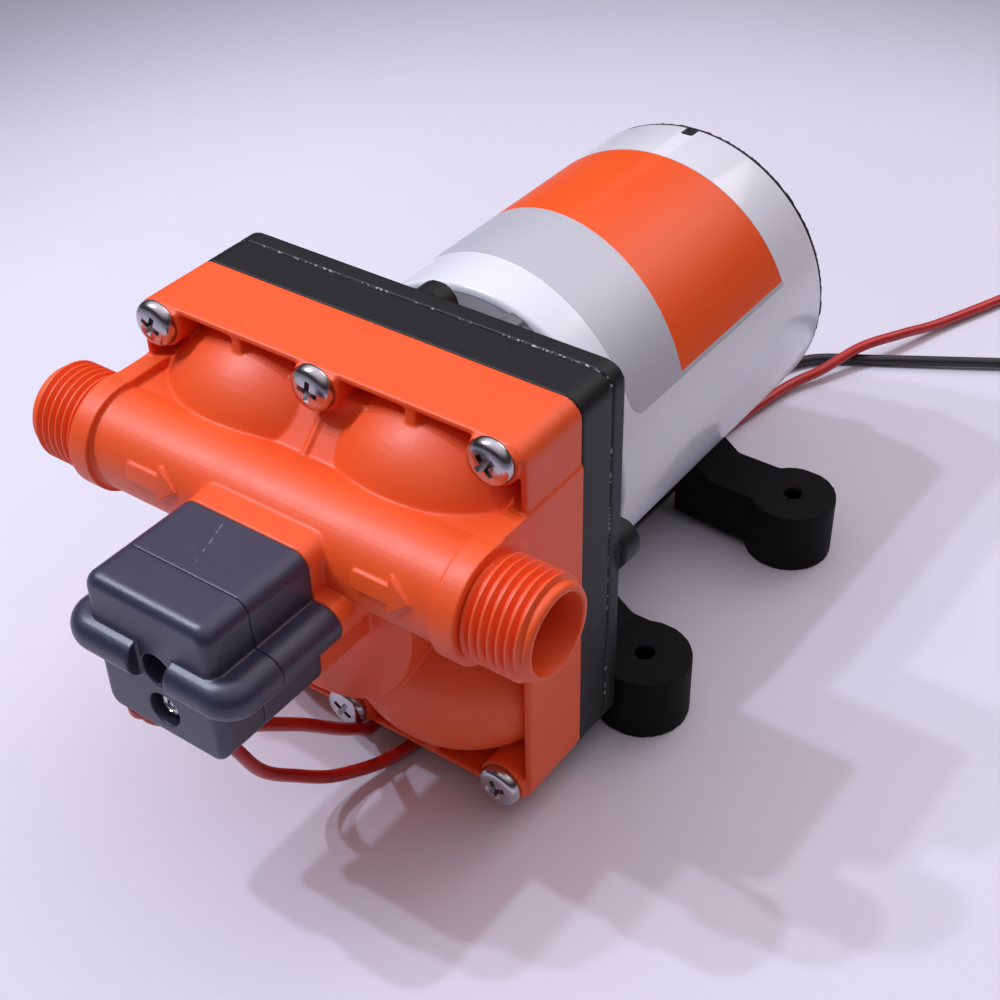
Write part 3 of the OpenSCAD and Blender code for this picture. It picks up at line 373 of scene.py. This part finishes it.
def cast_aluminium(place):
    grain = place.noise(0.35, 4)
    stain = place.noise(9, 3)
    return {"Base Color": stain.mix(shade("6a6a70"), shade("85858b")), "Roughness": 0.42 + 0.2 * grain,
            "Normal": grain.bump(0.05, 0.6)}


CASTING = finish("cast aluminium", cast_aluminium, metallic=0.75)
dress(CASTING, "front_bell", "eccentric_hub")
moulded(nodes["front_bell"], 0.5, 3, 0.5)

# The rear cap is moulded in black plastic and held by two long hexagon bolts that run through the
# motor into the drive housing. Two rubber grommets in it let the leads out.
SEAM_Y = -48.5


def black_moulding(place):
    y = place.axes()[1]
    grain = place.noise(0.22, 3)
    cloud = place.noise(14, 4)
    rub = place.noise(0.5, 3, (1, 9, 2)).step(0.66, 0.74)
    dust = place.specks(3.4, 0.03)
    # painted highlight: light grey flecks along the seam between valve plate and drive housing stand in for
    # glints of light on the seam's edges
    painted_seam_glint = ((1 - abs(y - SEAM_Y * MM).step(0.12 * MM, 0.4 * MM)) * place.noise(0.9, 3).step(0.53, 0.6)
             * place.noise(9, 2).step(0.42, 0.55))
    colour = cloud.mix(shade("100f12"), shade("18171b"))
    colour = (rub * 0.12).mix(colour, shade("5c5a62"))
    colour = (dust * 0.35).mix(colour, shade("8f8b92"))
    return {"Base Color": (painted_seam_glint * 0.8).mix(colour, shade("d6d4dc")),
            "Roughness": 0.42 + 0.14 * grain - 0.08 * rub - 0.15 * painted_seam_glint, "Normal": grain.bump(0.03, 0.5)}


def plain_rubber(place):
    grain = place.noise(0.3, 4)
    bloom = place.noise(7, 4)
    dust = place.specks(2.2, 0.04)
    colour = bloom.mix(shade("100f12"), shade("18171a"))
    return {"Base Color": (dust * 0.25).mix(colour, shade("77737b")), "Roughness": 0.54 + 0.2 * bloom,
            "Normal": grain.bump(0.05, 0.5)}


BLACK = finish("satin black moulding", black_moulding, specular_ior_level=0.33)
RUBBER = finish("moulded black rubber", plain_rubber, specular_ior_level=0.1)
dress(BLACK, "rear_end_cap", "microswitch")
moulded(nodes["rear_end_cap"], 0.45, 3, 0.5)
dress(RUBBER, "lead_grommets")
moulded(nodes["lead_grommets"], 0.18, 3)
dress(STEEL, "motor_bolts")
moulded(nodes["motor_bolts"], 0.25, 2, 0.4)


# A pressed steel bracket in black enamel cradles the can. Four black rubber feet are moulded over
# its tabs, with a hole through each for a wood screw.
def black_enamel(place):
    peel = place.noise(1.4, 2)
    chips = place.noise(3, 5).step(0.68, 0.72)
    return {"Base Color": chips.mix(shade("18181a"), shade("4a4a4e")), "Roughness": 0.3 + 0.2 * chips,
            "Normal": peel.bump(0.03, 0.5)}


dress(finish("black enamel", black_enamel, coat_weight=0.2), "mount_bracket")
moulded(nodes["mount_bracket"], 0.45, 2, 0.5)
FEET = ("foot_front_left", "foot_front_right", "foot_rear_left", "foot_rear_right")
dress(RUBBER, *FEET)
for foot in FEET:
    moulded(nodes[foot], 0.4, 6, 0.6)


# The drive housing closes the chambers at the back. The canted hub rocks the wobble plate, whose four
# pads carry the piston discs on both sides of the rubber diaphragm, each held by a screw.
def white_nylon(place):
    flow = place.noise(5, 3, (1, 1, 2))
    grain = place.noise(0.3, 2)
    return {"Base Color": flow.mix(shade("d9d5c9"), shade("eae7de")), "Roughness": 0.4 + 0.15 * grain,
            "Normal": grain.bump(0.02, 0.4)}


dress(BLACK, "drive_housing")
moulded(nodes["drive_housing"], 0.42, 4, 0.4)
dress(finish("white nylon", white_nylon, subsurface_weight=0.1, subsurface_scale=0.002), "wobble_plate",
      "pistons", "switch_plunger")
dress(RUBBER, "diaphragm", "head_seal", "inlet_valves", "outlet_valve", "switch_diaphragm")

# The valve plate sits between the drive housing and the head: a thick black moulding with the pockets
# of the four chambers, sealed to the head by a rubber ring in its face.
dress(BLACK, "valve_plate")
moulded(nodes["valve_plate"], 0.42, 4, 0.4)

# The head is one orange moulding: a rimmed plate with four domes, a cross tube between two collars with
# a gusset at each end, a saddle for the switch and six screw bosses. Its two spigots carry a half-inch
# pipe thread. Lid and plugs close the hollows that nobody sees, so that the mould's skin stays outside.
PORT_Y, PORT_Z, PORT_END, COLLAR_END = -87.2, 69.3, 60.15, 46.5
THREAD_R, ROOT_R, PITCH, BORE_R = 10.4, 9.3, 1.814, 7.75
TOOTH_FOOT = ROOT_R - 0.15
THREAD_START, TURNS, TURN_STEPS = 46.8, 6.4, 56
ARROWS, ARROW_UP, ARROW_L, ARROW_W, ARROW_TOP = (-24.9, 30.3), 13.0, 12.7, 7.2, 11.05
ARROW_ROOT, ARROW_ROUND = 2.2, 0.22
BACK_LID = ((-41, -59.7, 9.6), (41, -58.5, 91.6))
RIB, RIB_TILT, RIB_PLACE = ((-0.55, -7.4, -0.7), (0.55, 7.4, 0.7)), 43.8, (0, -80.3, 79.5)
GUSSETS = (((-42.5, -87, 70), (-30, -73.5, 79.2)), ((30, -87, 70), (42.5, -73.5, 79.2)))
PLUGS, PLUG_R, PLUG_L = (-26, 24), 8.4, 2


def merged_copy(node):
    """A bmesh copy of a solid with its loose triangles merged."""
    bm = bmesh.new()
    bm.from_mesh(nodes[node].data)
    bmesh.ops.remove_doubles(bm, verts=bm.verts, dist=1e-6)
    return bm


def join(bm, *others):
    """Puts other bmeshes into the first, and uses them up."""
    for other in others:
        mesh = bpy.data.meshes.new("stock")
        other.to_mesh(mesh)
        other.free()
        bm.from_mesh(mesh)
        bpy.data.meshes.remove(mesh)
    return bm


def orange_moulding(place):
    grain = place.noise(0.2, 3)
    flow = place.noise(18, 3, (1, 1, 1.6))
    cloud = place.noise(4, 3)
    rub = place.noise(0.35, 3, (8, 1, 3)).step(0.68, 0.76)
    dust = place.specks(4.0, 0.03)
    colour = flow.mix(shade("ef531c"), shade("f75d25"))
    colour = (rub * 0.18).mix(colour, shade("ff9a7c"))
    return {"Base Color": (dust * 0.3).mix(colour, shade("ffc9b8")),
            "Roughness": 0.36 + 0.1 * cloud + 0.1 * grain, "Normal": grain.bump(0.03, 0.5)}


ORANGE = finish("orange moulding", orange_moulding, subsurface_weight=0.04, subsurface_scale=0.0015,
                subsurface_radius=(1.0, 0.35, 0.15))
head = merged_copy("pump_head")
for side in (-1, 1):
    cut = bmesh.ops.bisect_plane(head, geom=head.verts[:] + head.edges[:] + head.faces[:],
                                 plane_co=(side * (COLLAR_END + 0.1) * MM, 0, 0), plane_no=(side, 0, 0),
                                 clear_outer=True)
    bmesh.ops.triangle_fill(head, edges=[e for e in cut["geom_cut"] if isinstance(e, bmesh.types.BMEdge)],
                            use_beauty=True)
rib = block(*RIB)
turn(rib, RIB_TILT, "X")
move(rib, RIB_PLACE)
added = [block(*BACK_LID), rib, *(block(*corners) for corners in GUSSETS)]
for x in PLUGS:
    plug = ((0, x), (PLUG_R, x), (PLUG_R, x + PLUG_L), (0, x + PLUG_L))
    added.append(turned(plug, (0, PORT_Y, PORT_Z), 32, "X"))
moulding = piece("head_moulding", join(head, *added), ORANGE, "base", "orange_plastic", "pump_head")
moulded(moulding, 0.32, 4, 0.15)

arrows = bmesh.new()
for x in ARROWS:
    neck, half, shaft = ARROW_L / 8, ARROW_W / 2, ARROW_W / 4
    outline = ((-ARROW_L / 2, shaft), (neck, shaft), (neck, half), (ARROW_L / 2, 0), (neck, -half),
               (neck, -shaft), (-ARROW_L / 2, -shaft))
    arrow = bmesh.new()
    face = arrow.faces.new([arrow.verts.new((u * MM, -ARROW_TOP * MM, v * MM)) for u, v in outline])
    grown = bmesh.ops.extrude_face_region(arrow, geom=[face])["geom"]
    bmesh.ops.translate(arrow, verts=[v for v in grown if isinstance(v, bmesh.types.BMVert)],
                        vec=(0, ARROW_ROOT * MM, 0))
    bmesh.ops.recalc_face_normals(arrow, faces=arrow.faces)
    top = [e for e in arrow.edges if all(close(v.co.y / MM, -ARROW_TOP) for v in e.verts)]
    bmesh.ops.bevel(arrow, geom=top, offset=ARROW_ROUND * MM, affect="EDGES", segments=3, profile=0.5,
                    material=-1)
    turn(arrow, -ARROW_UP, "X")
    move(arrow, (x, PORT_Y, PORT_Z))
    join(arrows, arrow)
piece("flow_arrows", arrows, ORANGE, "base", "orange_plastic")

core = [(BORE_R, COLLAR_END - 1.5), (ROOT_R, COLLAR_END - 1.5), (ROOT_R, PORT_END - 0.95),
        (ROOT_R - 0.1, PORT_END - 0.6), (ROOT_R - 0.45, PORT_END - 0.12), (ROOT_R - 0.7, PORT_END),
        (BORE_R + 0.35, PORT_END), (BORE_R + 0.1, PORT_END - 0.1), (BORE_R, PORT_END - 0.35)]
tooth = [(TOOTH_FOOT, -0.8), (ROOT_R + 0.25, -0.58), (THREAD_R - 0.3, -0.36), (THREAD_R - 0.06, -0.16),
         (THREAD_R - 0.06, 0.16), (THREAD_R - 0.3, 0.36), (ROOT_R + 0.25, 0.58), (TOOTH_FOOT, 0.8)]
for name, facing in (("inlet_spigot", 180), ("outlet_spigot", 0)):
    spigot = turned(core, (0, 0, 0), 112, "X")
    ridge = bmesh.new()
    loop = [ridge.verts.new((x * MM, 0, r * MM)) for r, x in tooth]
    edges = [ridge.edges.new(pair) for pair in zip(loop, loop[1:] + loop[:1])]
    steps = round(TURNS * TURN_STEPS)
    bmesh.ops.spin(ridge, geom=loop + edges, cent=(0, 0, 0), axis=(1, 0, 0), angle=math.tau * TURNS,
                   steps=steps, dvec=(PITCH / TURN_STEPS * MM, 0, 0))
    for i, v in enumerate(ridge.verts):
        # The tooth rises out of the core at the collar and runs out near the end.
        along = (i // len(tooth)) / steps
        height = min(1.0, along * TURNS * 6 + 0.4, (1 - along) * TURNS * 4 + 0.05)
        r = math.hypot(v.co.y, v.co.z)
        v.co.yz = Vector(v.co.yz) * (TOOTH_FOOT * MM + (r - TOOTH_FOOT * MM) * height) / r
    bmesh.ops.holes_fill(ridge, edges=ridge.edges)
    bmesh.ops.recalc_face_normals(ridge, faces=ridge.faces)
    move(ridge, (THREAD_START, 0, 0))
    join(spigot, ridge)
    turn(spigot, facing, "Z")
    move(spigot, (0, PORT_Y, PORT_Z))
    piece(name, spigot, ORANGE, "base", "orange_plastic", sharp=50)

# Six chromed pan-head screws with a cross recess hold the head, the valve plate and the diaphragm to
# the drive housing. Each was driven until it bit, so the crosses point every way.
PAN_R, PAN_H, SHANK_R, SCREW_L, CROSS_W, CROSS_D = 4.75, 2.6, 2.0, 32.0, 1.25, 1.9
PAN = ((0, 1), (1.8, 0.985), (3.0, 0.93), (3.8, 0.84), (4.3, 0.7), (4.6, 0.5), (4.74, 0.3), (PAN_R, 0.1),
       (4.6, 0))
CROSS_REACH, CROSS_TAPER = 2.75, (0.42, 1, 0.72)
SCREW_UNDER = -76.8
SCREW_PLACES = ((-39.55, 91.0, 24), (0, 91.0, 12), (39.55, 91.0, -38), (-39.55, 10.2, 5), (0, 10.2, 30),
                (39.55, 10.2, -20))


def cross_screw(head_r, head_h, shank_r, length, slot_w, slot_d):
    """A bmesh screw along +Y with the underside of its head at the origin."""
    k = head_r / PAN_R
    top = [(r * k, -head_h * h) for r, h in PAN]
    shank = [(shank_r, 0), (shank_r, length - shank_r), (shank_r * 0.6, length), (0, length)]
    screw = turned(top + shank, (0, 0, 0), 48)
    tools = []
    for angle in (0, 90):
        wing = block((-CROSS_REACH * k, -head_h - 0.5, -slot_w / 2),
                     (CROSS_REACH * k, -head_h + slot_d, slot_w / 2))
        deep = [v for v in wing.verts if v.co.y > -head_h * MM]
        bmesh.ops.scale(wing, verts=deep, vec=CROSS_TAPER)
        turn(wing, angle, "Y")
        tools.append(wing)
    return carve(screw, "DIFFERENCE", *tools)


def bright_chrome(place):
    haze = place.noise(1.6, 4)
    lines = place.noise(0.2, 3, (4, 1, 0.5))
    return {"Base Color": haze.mix(shade("a9a6ab"), shade("cfcdd2")),
            "Roughness": 0.1 + 0.14 * haze + 0.06 * lines, "Normal": lines.bump(0.006, 0.4)}


CHROME = finish("bright chrome", bright_chrome, metallic=1.0)
screws = bmesh.new()
for x, z, angle in SCREW_PLACES:
    one = cross_screw(PAN_R, PAN_H, SHANK_R, SCREW_L, CROSS_W, CROSS_D)
    turn(one, angle, "Y")
    move(one, (x, SCREW_UNDER, z))
    join(screws, one)
piece("chrome_screws", screws, CHROME, "base", "chrome_screw", "head_screws")

# The pressure switch is a two-part box in blue-black plastic, with a rounded ledge round it. The base
# seats on the saddle over its rubber disc, and one screw in a deep hole holds the cover to it.
SWITCH_X, SWITCH_Z, SWITCH_W, SWITCH_H, LEDGE_W, LEDGE_H = 2.2, 60.7, 30.2, 30.7, 43.0, 8.0
SWITCH_FRONT, SWITCH_BACK, LEDGE_NOSE, LEDGE_UP = -126.6, -101.0, 3.0, 1.2
BOX_CORNER, FRONT_EDGE, LEDGE_CORNER, LEDGE_EDGE = 3.6, 2.6, 7.0, 3.9
SWITCH_SCREW = (SWITCH_X + 0.8, SWITCH_FRONT + 3.4, SWITCH_Z - 9.3)
SCRATCH, SCRATCH_RISE = ((-1.4, -101.5), (3.3, -116.0)), (75.5, 75.9)


def round_edges(bm, chosen, radius, segments=7):
    """Rounds the edges of a bmesh that chosen says, given the two ends in millimetres."""
    edges = [e for e in bm.edges if chosen(e.verts[0].co / MM, e.verts[1].co / MM)]
    bmesh.ops.bevel(bm, geom=edges, offset=radius * MM, affect="EDGES", segments=segments, profile=0.5,
                    material=-1)


def switch_envelope():
    """The outer skin of the switch box: a box with soft front edges in a round-edged ledge."""
    skin, under = 0.03, 1.4
    box = block((-SWITCH_W / 2 - skin, SWITCH_FRONT - skin, SWITCH_Z - SWITCH_H / 2 - under),
                (SWITCH_W / 2 + skin, SWITCH_BACK + 1, SWITCH_Z + SWITCH_H / 2 + skin))
    round_edges(box, lambda a, b: abs(a.y - b.y) > 1, BOX_CORNER)
    face = SWITCH_FRONT - skin
    round_edges(box, lambda a, b: close(a.y, face) and close(b.y, face), FRONT_EDGE)
    low, high = SWITCH_Z + LEDGE_UP - LEDGE_H / 2 - skin, SWITCH_Z + LEDGE_UP + LEDGE_H / 2 + skin
    nose = SWITCH_FRONT - LEDGE_NOSE - skin
    ledge = block((-LEDGE_W / 2 - skin, nose, low), (LEDGE_W / 2 + skin, SWITCH_BACK + 1, high))
    round_edges(ledge, lambda a, b: abs(a.z - b.z) > 1 and close(a.y, nose), LEDGE_CORNER, 9)
    round_edges(ledge, lambda a, b: close(a.z, b.z) and min(a.y, b.y) <= SWITCH_BACK, LEDGE_EDGE, 8)
    envelope = carve(box, "UNION", ledge)
    move(envelope, (SWITCH_X, 0, 0))
    return envelope


def switch_moulding(place):
    x, y, z = place.axes()
    grain = place.noise(0.24, 3)
    cloud = place.noise(11, 4)
    rub = place.noise(0.4, 3, (2, 7, 2)).step(0.64, 0.74)
    (x0, y0), (x1, y1) = SCRATCH
    run = Vector((x1 - x0, y1 - y0))
    across = ((x - x0 * MM) * run.y - (y - y0 * MM) * run.x) * (1 / run.length)
    along = ((x - x0 * MM) * run.x + (y - y0 * MM) * run.y) * (1 / (run.length ** 2 * MM))
    scratch = ((1 - abs(across + place.noise(5) * (0.9 * MM) - 0.45 * MM).step(0.06 * MM, 0.26 * MM))
               * along.step(0.02, 0.1) * (1 - along.step(0.75, 1.0))
               * z.step(SCRATCH_RISE[0] * MM, SCRATCH_RISE[1] * MM) * place.noise(1.5, 3).step(0.42, 0.58))
    dust = place.specks(2.4, 0.035)
    colour = cloud.mix(shade("29293d"), shade("34344c"))
    colour = (rub * 0.1 + scratch * 0.6).mix(colour, shade("80809a"))
    return {"Base Color": (dust * 0.2).mix(colour, shade("8b8a9c")),
            "Roughness": 0.27 + 0.12 * grain + 0.08 * cloud, "Normal": grain.bump(0.045, 0.6)}


SWITCH = finish("blue-black moulding", switch_moulding, specular_ior_level=0.65)
for name, node in (("switch_box_base", "switch_base"), ("switch_box_cover", "switch_cover")):
    shell = carve(merged_copy(node), "INTERSECT", switch_envelope())
    moulded(piece(name, shell, SWITCH, "base", "switch_plastic", node), 0.22, 5, 0.3)

switch_screw = cross_screw(head_r=2.9, head_h=2.2, shank_r=1.5, length=27.0, slot_w=0.85, slot_d=1.4)
move(switch_screw, SWITCH_SCREW)
piece("switch_screw", switch_screw, CHROME, "base", "chrome_screw", "cover_screw")


# Two brass blades stick out of the bottom of the switch, each under a red crimp sleeve that ends the
# lead. The small switch inside has a red button.
def red_insulation(place):
    tone = place.noise(6, 3)
    scuff = place.noise(0.8, 4).step(0.6, 0.72)
    colour = tone.mix(shade("a81612"), shade("c01f18"))
    return {"Base Color": (scuff * 0.25).mix(colour, shade("d0605a")),
            "Roughness": 0.3 + 0.15 * tone + 0.1 * scuff, "Normal": place.noise(0.4, 3).bump(0.02, 0.5)}


RED = finish("red insulation", red_insulation, coat_weight=0.15, coat_roughness=0.2)
dress(RED, "microswitch_button")
SLEEVE_PLACES = ((-7.2, -123.1, 0), (9.2, -113.6, 0))
SLEEVE = ((1.5, 42.7), (2.4, 42.7), (2.7, 42.8), (2.95, 43.05), (3.07, 43.4), (3.1, 43.8), (3.1, 44.6),
          (3.02, 44.85), (2.85, 45.0), (1.5, 45.0))
sleeves = join(*(turned(SLEEVE, place, 40, "Z") for place in SLEEVE_PLACES))
piece("crimp_sleeves", sleeves, RED, "base", "red_sleeve", "terminal_sleeves")

# Three plastic-covered leads: red from the switch to the motor, red from the switch to the supply, and
# black from the motor to the supply. They lie on the bench, and the two supply ends are stripped.
LEAD_R = 1.4
SWITCH_ROUTE = (
    (9.2, -113.6, 42), (9.1, -112.7, 39.5), (8.4, -108.8, 35.8), (6.3, -97, 24.4), (4.4, -81, 8.5),
    (3.2, -70, 2.6), (0, -25, 2), (-6, 30, 2), (-9, 60, 3.4), (-9, 70.6, 13), (-9, 70.4, 22),
    (-9, 66.4, 27.6), (-9, 60.6, 28.6))
SUPPLY_ROUTE = (
    (-7.2, -123.1, 42.2), (-6.9, -122.6, 40.6), (-5.4, -121, 39.4), (-2.6, -118.4, 39),
    (1.4, -115.4, 36.4), (4.2, -113, 29.8), (4.2, -107.8, 19.6), (4.9, -100.5, 12), (8.5, -90, 5.2),
    (13, -73.6, 2), (13.5, -45, 2), (9.6, 40, 2), (14, 85, 2), (20, 102, 3.2), (25, 115, 5.4),
    (31, 130, 4), (38, 148, 2), (60, 202, 2))
RETURN_ROUTE = (
    (5, 60.6, 28.6), (5, 67, 27.6), (5.2, 76, 20), (5.8, 85, 9.5), (8, 95.5, 2.6), (15, 107.5, 1.8),
    (30, 117, 1.8), (48, 127.5, 2), (64, 137, 2), (80, 146, 2))
WIRES, WIRE_R, WIRE_OUT, STRIP_L, STRIP_STEPS, STRIP_TWIST = 7, 0.27, 0.55, 6.0, 14, 1.6


def black_insulation(place):
    tone = place.noise(5, 3)
    return {"Base Color": tone.mix(shade("111013"), shade("1f1e22")), "Roughness": 0.32 + 0.2 * tone,
            "Normal": place.noise(0.4, 3).bump(0.02, 0.5)}


def tinned_copper(place):
    tone = place.noise(0.6, 3)
    return {"Base Color": tone.mix(shade("a08a78"), shade("c9c2bb")), "Roughness": 0.28 + 0.2 * tone}


def lead(name, route, material, slot, far_end):
    """One lead along its route, as a smooth curve through the route's points."""
    points = [Vector(p) * MM for p in route]
    curve = bpy.data.curves.new(name, "CURVE")
    curve.dimensions, curve.resolution_u, curve.use_fill_caps = "3D", 10, True
    curve.bevel_depth, curve.bevel_resolution = LEAD_R * MM, 5
    spline = curve.splines.new("BEZIER")
    spline.bezier_points.add(len(points) - 1)
    for i, knot in enumerate(spline.bezier_points):
        before, after = points[max(i - 1, 0)], points[min(i + 1, len(points) - 1)]
        knot.handle_left_type = knot.handle_right_type = "FREE"
        knot.co = points[i]
        reach = (after - before) / 6
        knot.handle_left, knot.handle_right = points[i] - reach, points[i] + reach
    curve.materials.append(material)
    obj = bpy.data.objects.new(name, curve)
    bpy.context.scene.collection.objects.link(obj)
    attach(obj, "base")
    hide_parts(name.replace("_run", ""))
    if far_end == "bare":
        aim = (points[-1] - points[-2]).normalized()
        piece(name + "_strands", strands(points[-1], aim), TINNED, "base", slot)


def strands(place, aim):
    """A bmesh bundle of twisted wires on the end of a lead."""
    bundle = bmesh.new()
    for k in range(WIRES):
        wire = bmesh.new()
        bmesh.ops.create_circle(wire, segments=8, radius=WIRE_R * MM)
        out = 0 if k == 0 else WIRE_OUT
        move(wire, (out * math.cos(k), out * math.sin(k), 0))
        bmesh.ops.spin(wire, geom=wire.verts[:] + wire.edges[:], cent=(0, 0, 0), axis=(0, 0, 1),
                       angle=STRIP_TWIST, steps=STRIP_STEPS, dvec=(0, 0, STRIP_L / STRIP_STEPS * MM))
        bmesh.ops.holes_fill(wire, edges=wire.edges)
        bmesh.ops.recalc_face_normals(wire, faces=wire.faces)
        join(bundle, wire)
    lean = Vector((0, 0, 1)).rotation_difference(aim).to_matrix()
    bmesh.ops.rotate(bundle, verts=bundle.verts, cent=(0, 0, 0), matrix=lean)
    bmesh.ops.translate(bundle, verts=bundle.verts, vec=place - aim * 0.5 * MM)
    return bundle


TINNED = finish("tinned copper strands", tinned_copper, metallic=1.0)
lead("switch_lead_run", SWITCH_ROUTE, RED, "red_sleeve", "object")
lead("supply_lead_run", SUPPLY_ROUTE, RED, "red_sleeve", "bare")
BLACK_LEAD = finish("black insulation", black_insulation, coat_weight=0.1)
lead("return_lead_run", RETURN_ROUTE, BLACK_LEAD, "black_sleeve", "bare")

# The bench is a pale lavender-white sheet, its colour painted darker away from the pump as painted shade
# where the lamps' light falls off. Three bluish lamps in a row stand at the left, with a pale sheet behind
# the pump, in a room that is brightest overhead and behind it. The camera looks down from the front right.
BENCH_HALF, BENCH_MID, BENCH_BRIGHT, BENCH_DIM = 2.5, 0.04, 0.19, 0.46


def pale_sheet(place):
    x, y, _ = place.axes()
    cloud = place.noise(160, 3)
    # painted shade: the sheet's colour darkens with distance from the pump, standing in for the lamps'
    # light falling off
    painted_falloff = y.sum("POWER", x * x + (y - BENCH_MID) * (y - BENCH_MID), 0.5).step(BENCH_BRIGHT, BENCH_DIM)
    return {"Base Color": painted_falloff.mix(cloud.mix(shade("d2cfdb"), shade("dcd9e4")), shade("86848f")),
            "Roughness": 0.5 + 0.1 * cloud}


sheet = bmesh.new()
bmesh.ops.create_grid(sheet, x_segments=8, y_segments=8, size=BENCH_HALF)
floor_mesh = bpy.data.meshes.new("bench")
sheet.to_mesh(floor_mesh)
sheet.free()
floor_mesh.materials.append(finish("pale sheet", pale_sheet))
floor = bpy.data.objects.new("bench", floor_mesh)
bpy.context.scene.collection.objects.link(floor)


def soft_box(name, place, aim, size, watts, colour):
    """A square lamp that faces aim."""
    light = bpy.data.lights.new(name, "AREA")
    light.shape, light.size, light.energy, light.color = "SQUARE", size, watts, colour
    obj = bpy.data.objects.new(name, light)
    bpy.context.scene.collection.objects.link(obj)
    obj.location = place
    obj.rotation_euler = (Vector(aim) - Vector(place)).to_track_quat("-Z", "Y").to_euler()


LAMP_AIM, LAMP_SIZE, LAMP_WATTS, LAMP_COLOUR = (0, -0.05, 0.03), 0.03, 2.7, (0.77, 0.85, 1.0)
for name, place in (("upper lamp", (-0.42, -0.25, 1.0)), ("middle lamp", (-0.52, -0.37, 0.9)),
                    ("lower lamp", (-0.585, -0.46, 0.83))):
    soft_box(name, place, LAMP_AIM, LAMP_SIZE, LAMP_WATTS, LAMP_COLOUR)
soft_box("back sheet", (0.25, 0.95, 0.85), (0, 0, 0.05), 0.6, 2.0, (1.0, 0.95, 0.95))
world = bpy.data.worlds.new("room")
world.use_nodes = True
room = world.node_tree.nodes["Background"]
room.inputs["Color"].default_value = (1.0, 0.92, 0.98, 1.0)
sky = Paint(world.node_tree, world.node_tree.nodes.new("ShaderNodeTexCoord").outputs["Generated"])
side_x, side_y, rise = sky.axes()
behind = (side_y * 0.9 - side_x * 0.35).step(-0.7, 0.5)
sky.feed(room.inputs["Strength"], 0.04 + 1.36 * rise.step(0.3, 1.0) * (0.55 + 0.45 * behind))
bpy.context.scene.world = world

CAMERA_PLACE = (0.1734, -0.2553, 0.2573)
azimuth, elevation, roll = math.radians(37.65), math.radians(39.23), math.radians(-2.14)
back = Vector((math.sin(azimuth) * math.cos(elevation), -math.cos(azimuth) * math.cos(elevation),
               math.sin(elevation)))
right = Vector((math.cos(azimuth), math.sin(azimuth), 0))
up = back.cross(right)
right, up = right * math.cos(roll) + up * math.sin(roll), up * math.cos(roll) - right * math.sin(roll)
lens = bpy.data.cameras.new("camera")
lens.lens, lens.sensor_width, lens.shift_x, lens.shift_y = 59.11, 36.0, 0.0227, 0.0324
lens.clip_start = 0.01
camera = bpy.data.objects.new("camera", lens)
bpy.context.scene.collection.objects.link(camera)
camera.matrix_world = Matrix((right, up, back)).transposed().to_4x4()
camera.location = CAMERA_PLACE
bpy.context.scene.camera = camera
bpy.context.scene.view_settings.view_transform = "Standard"
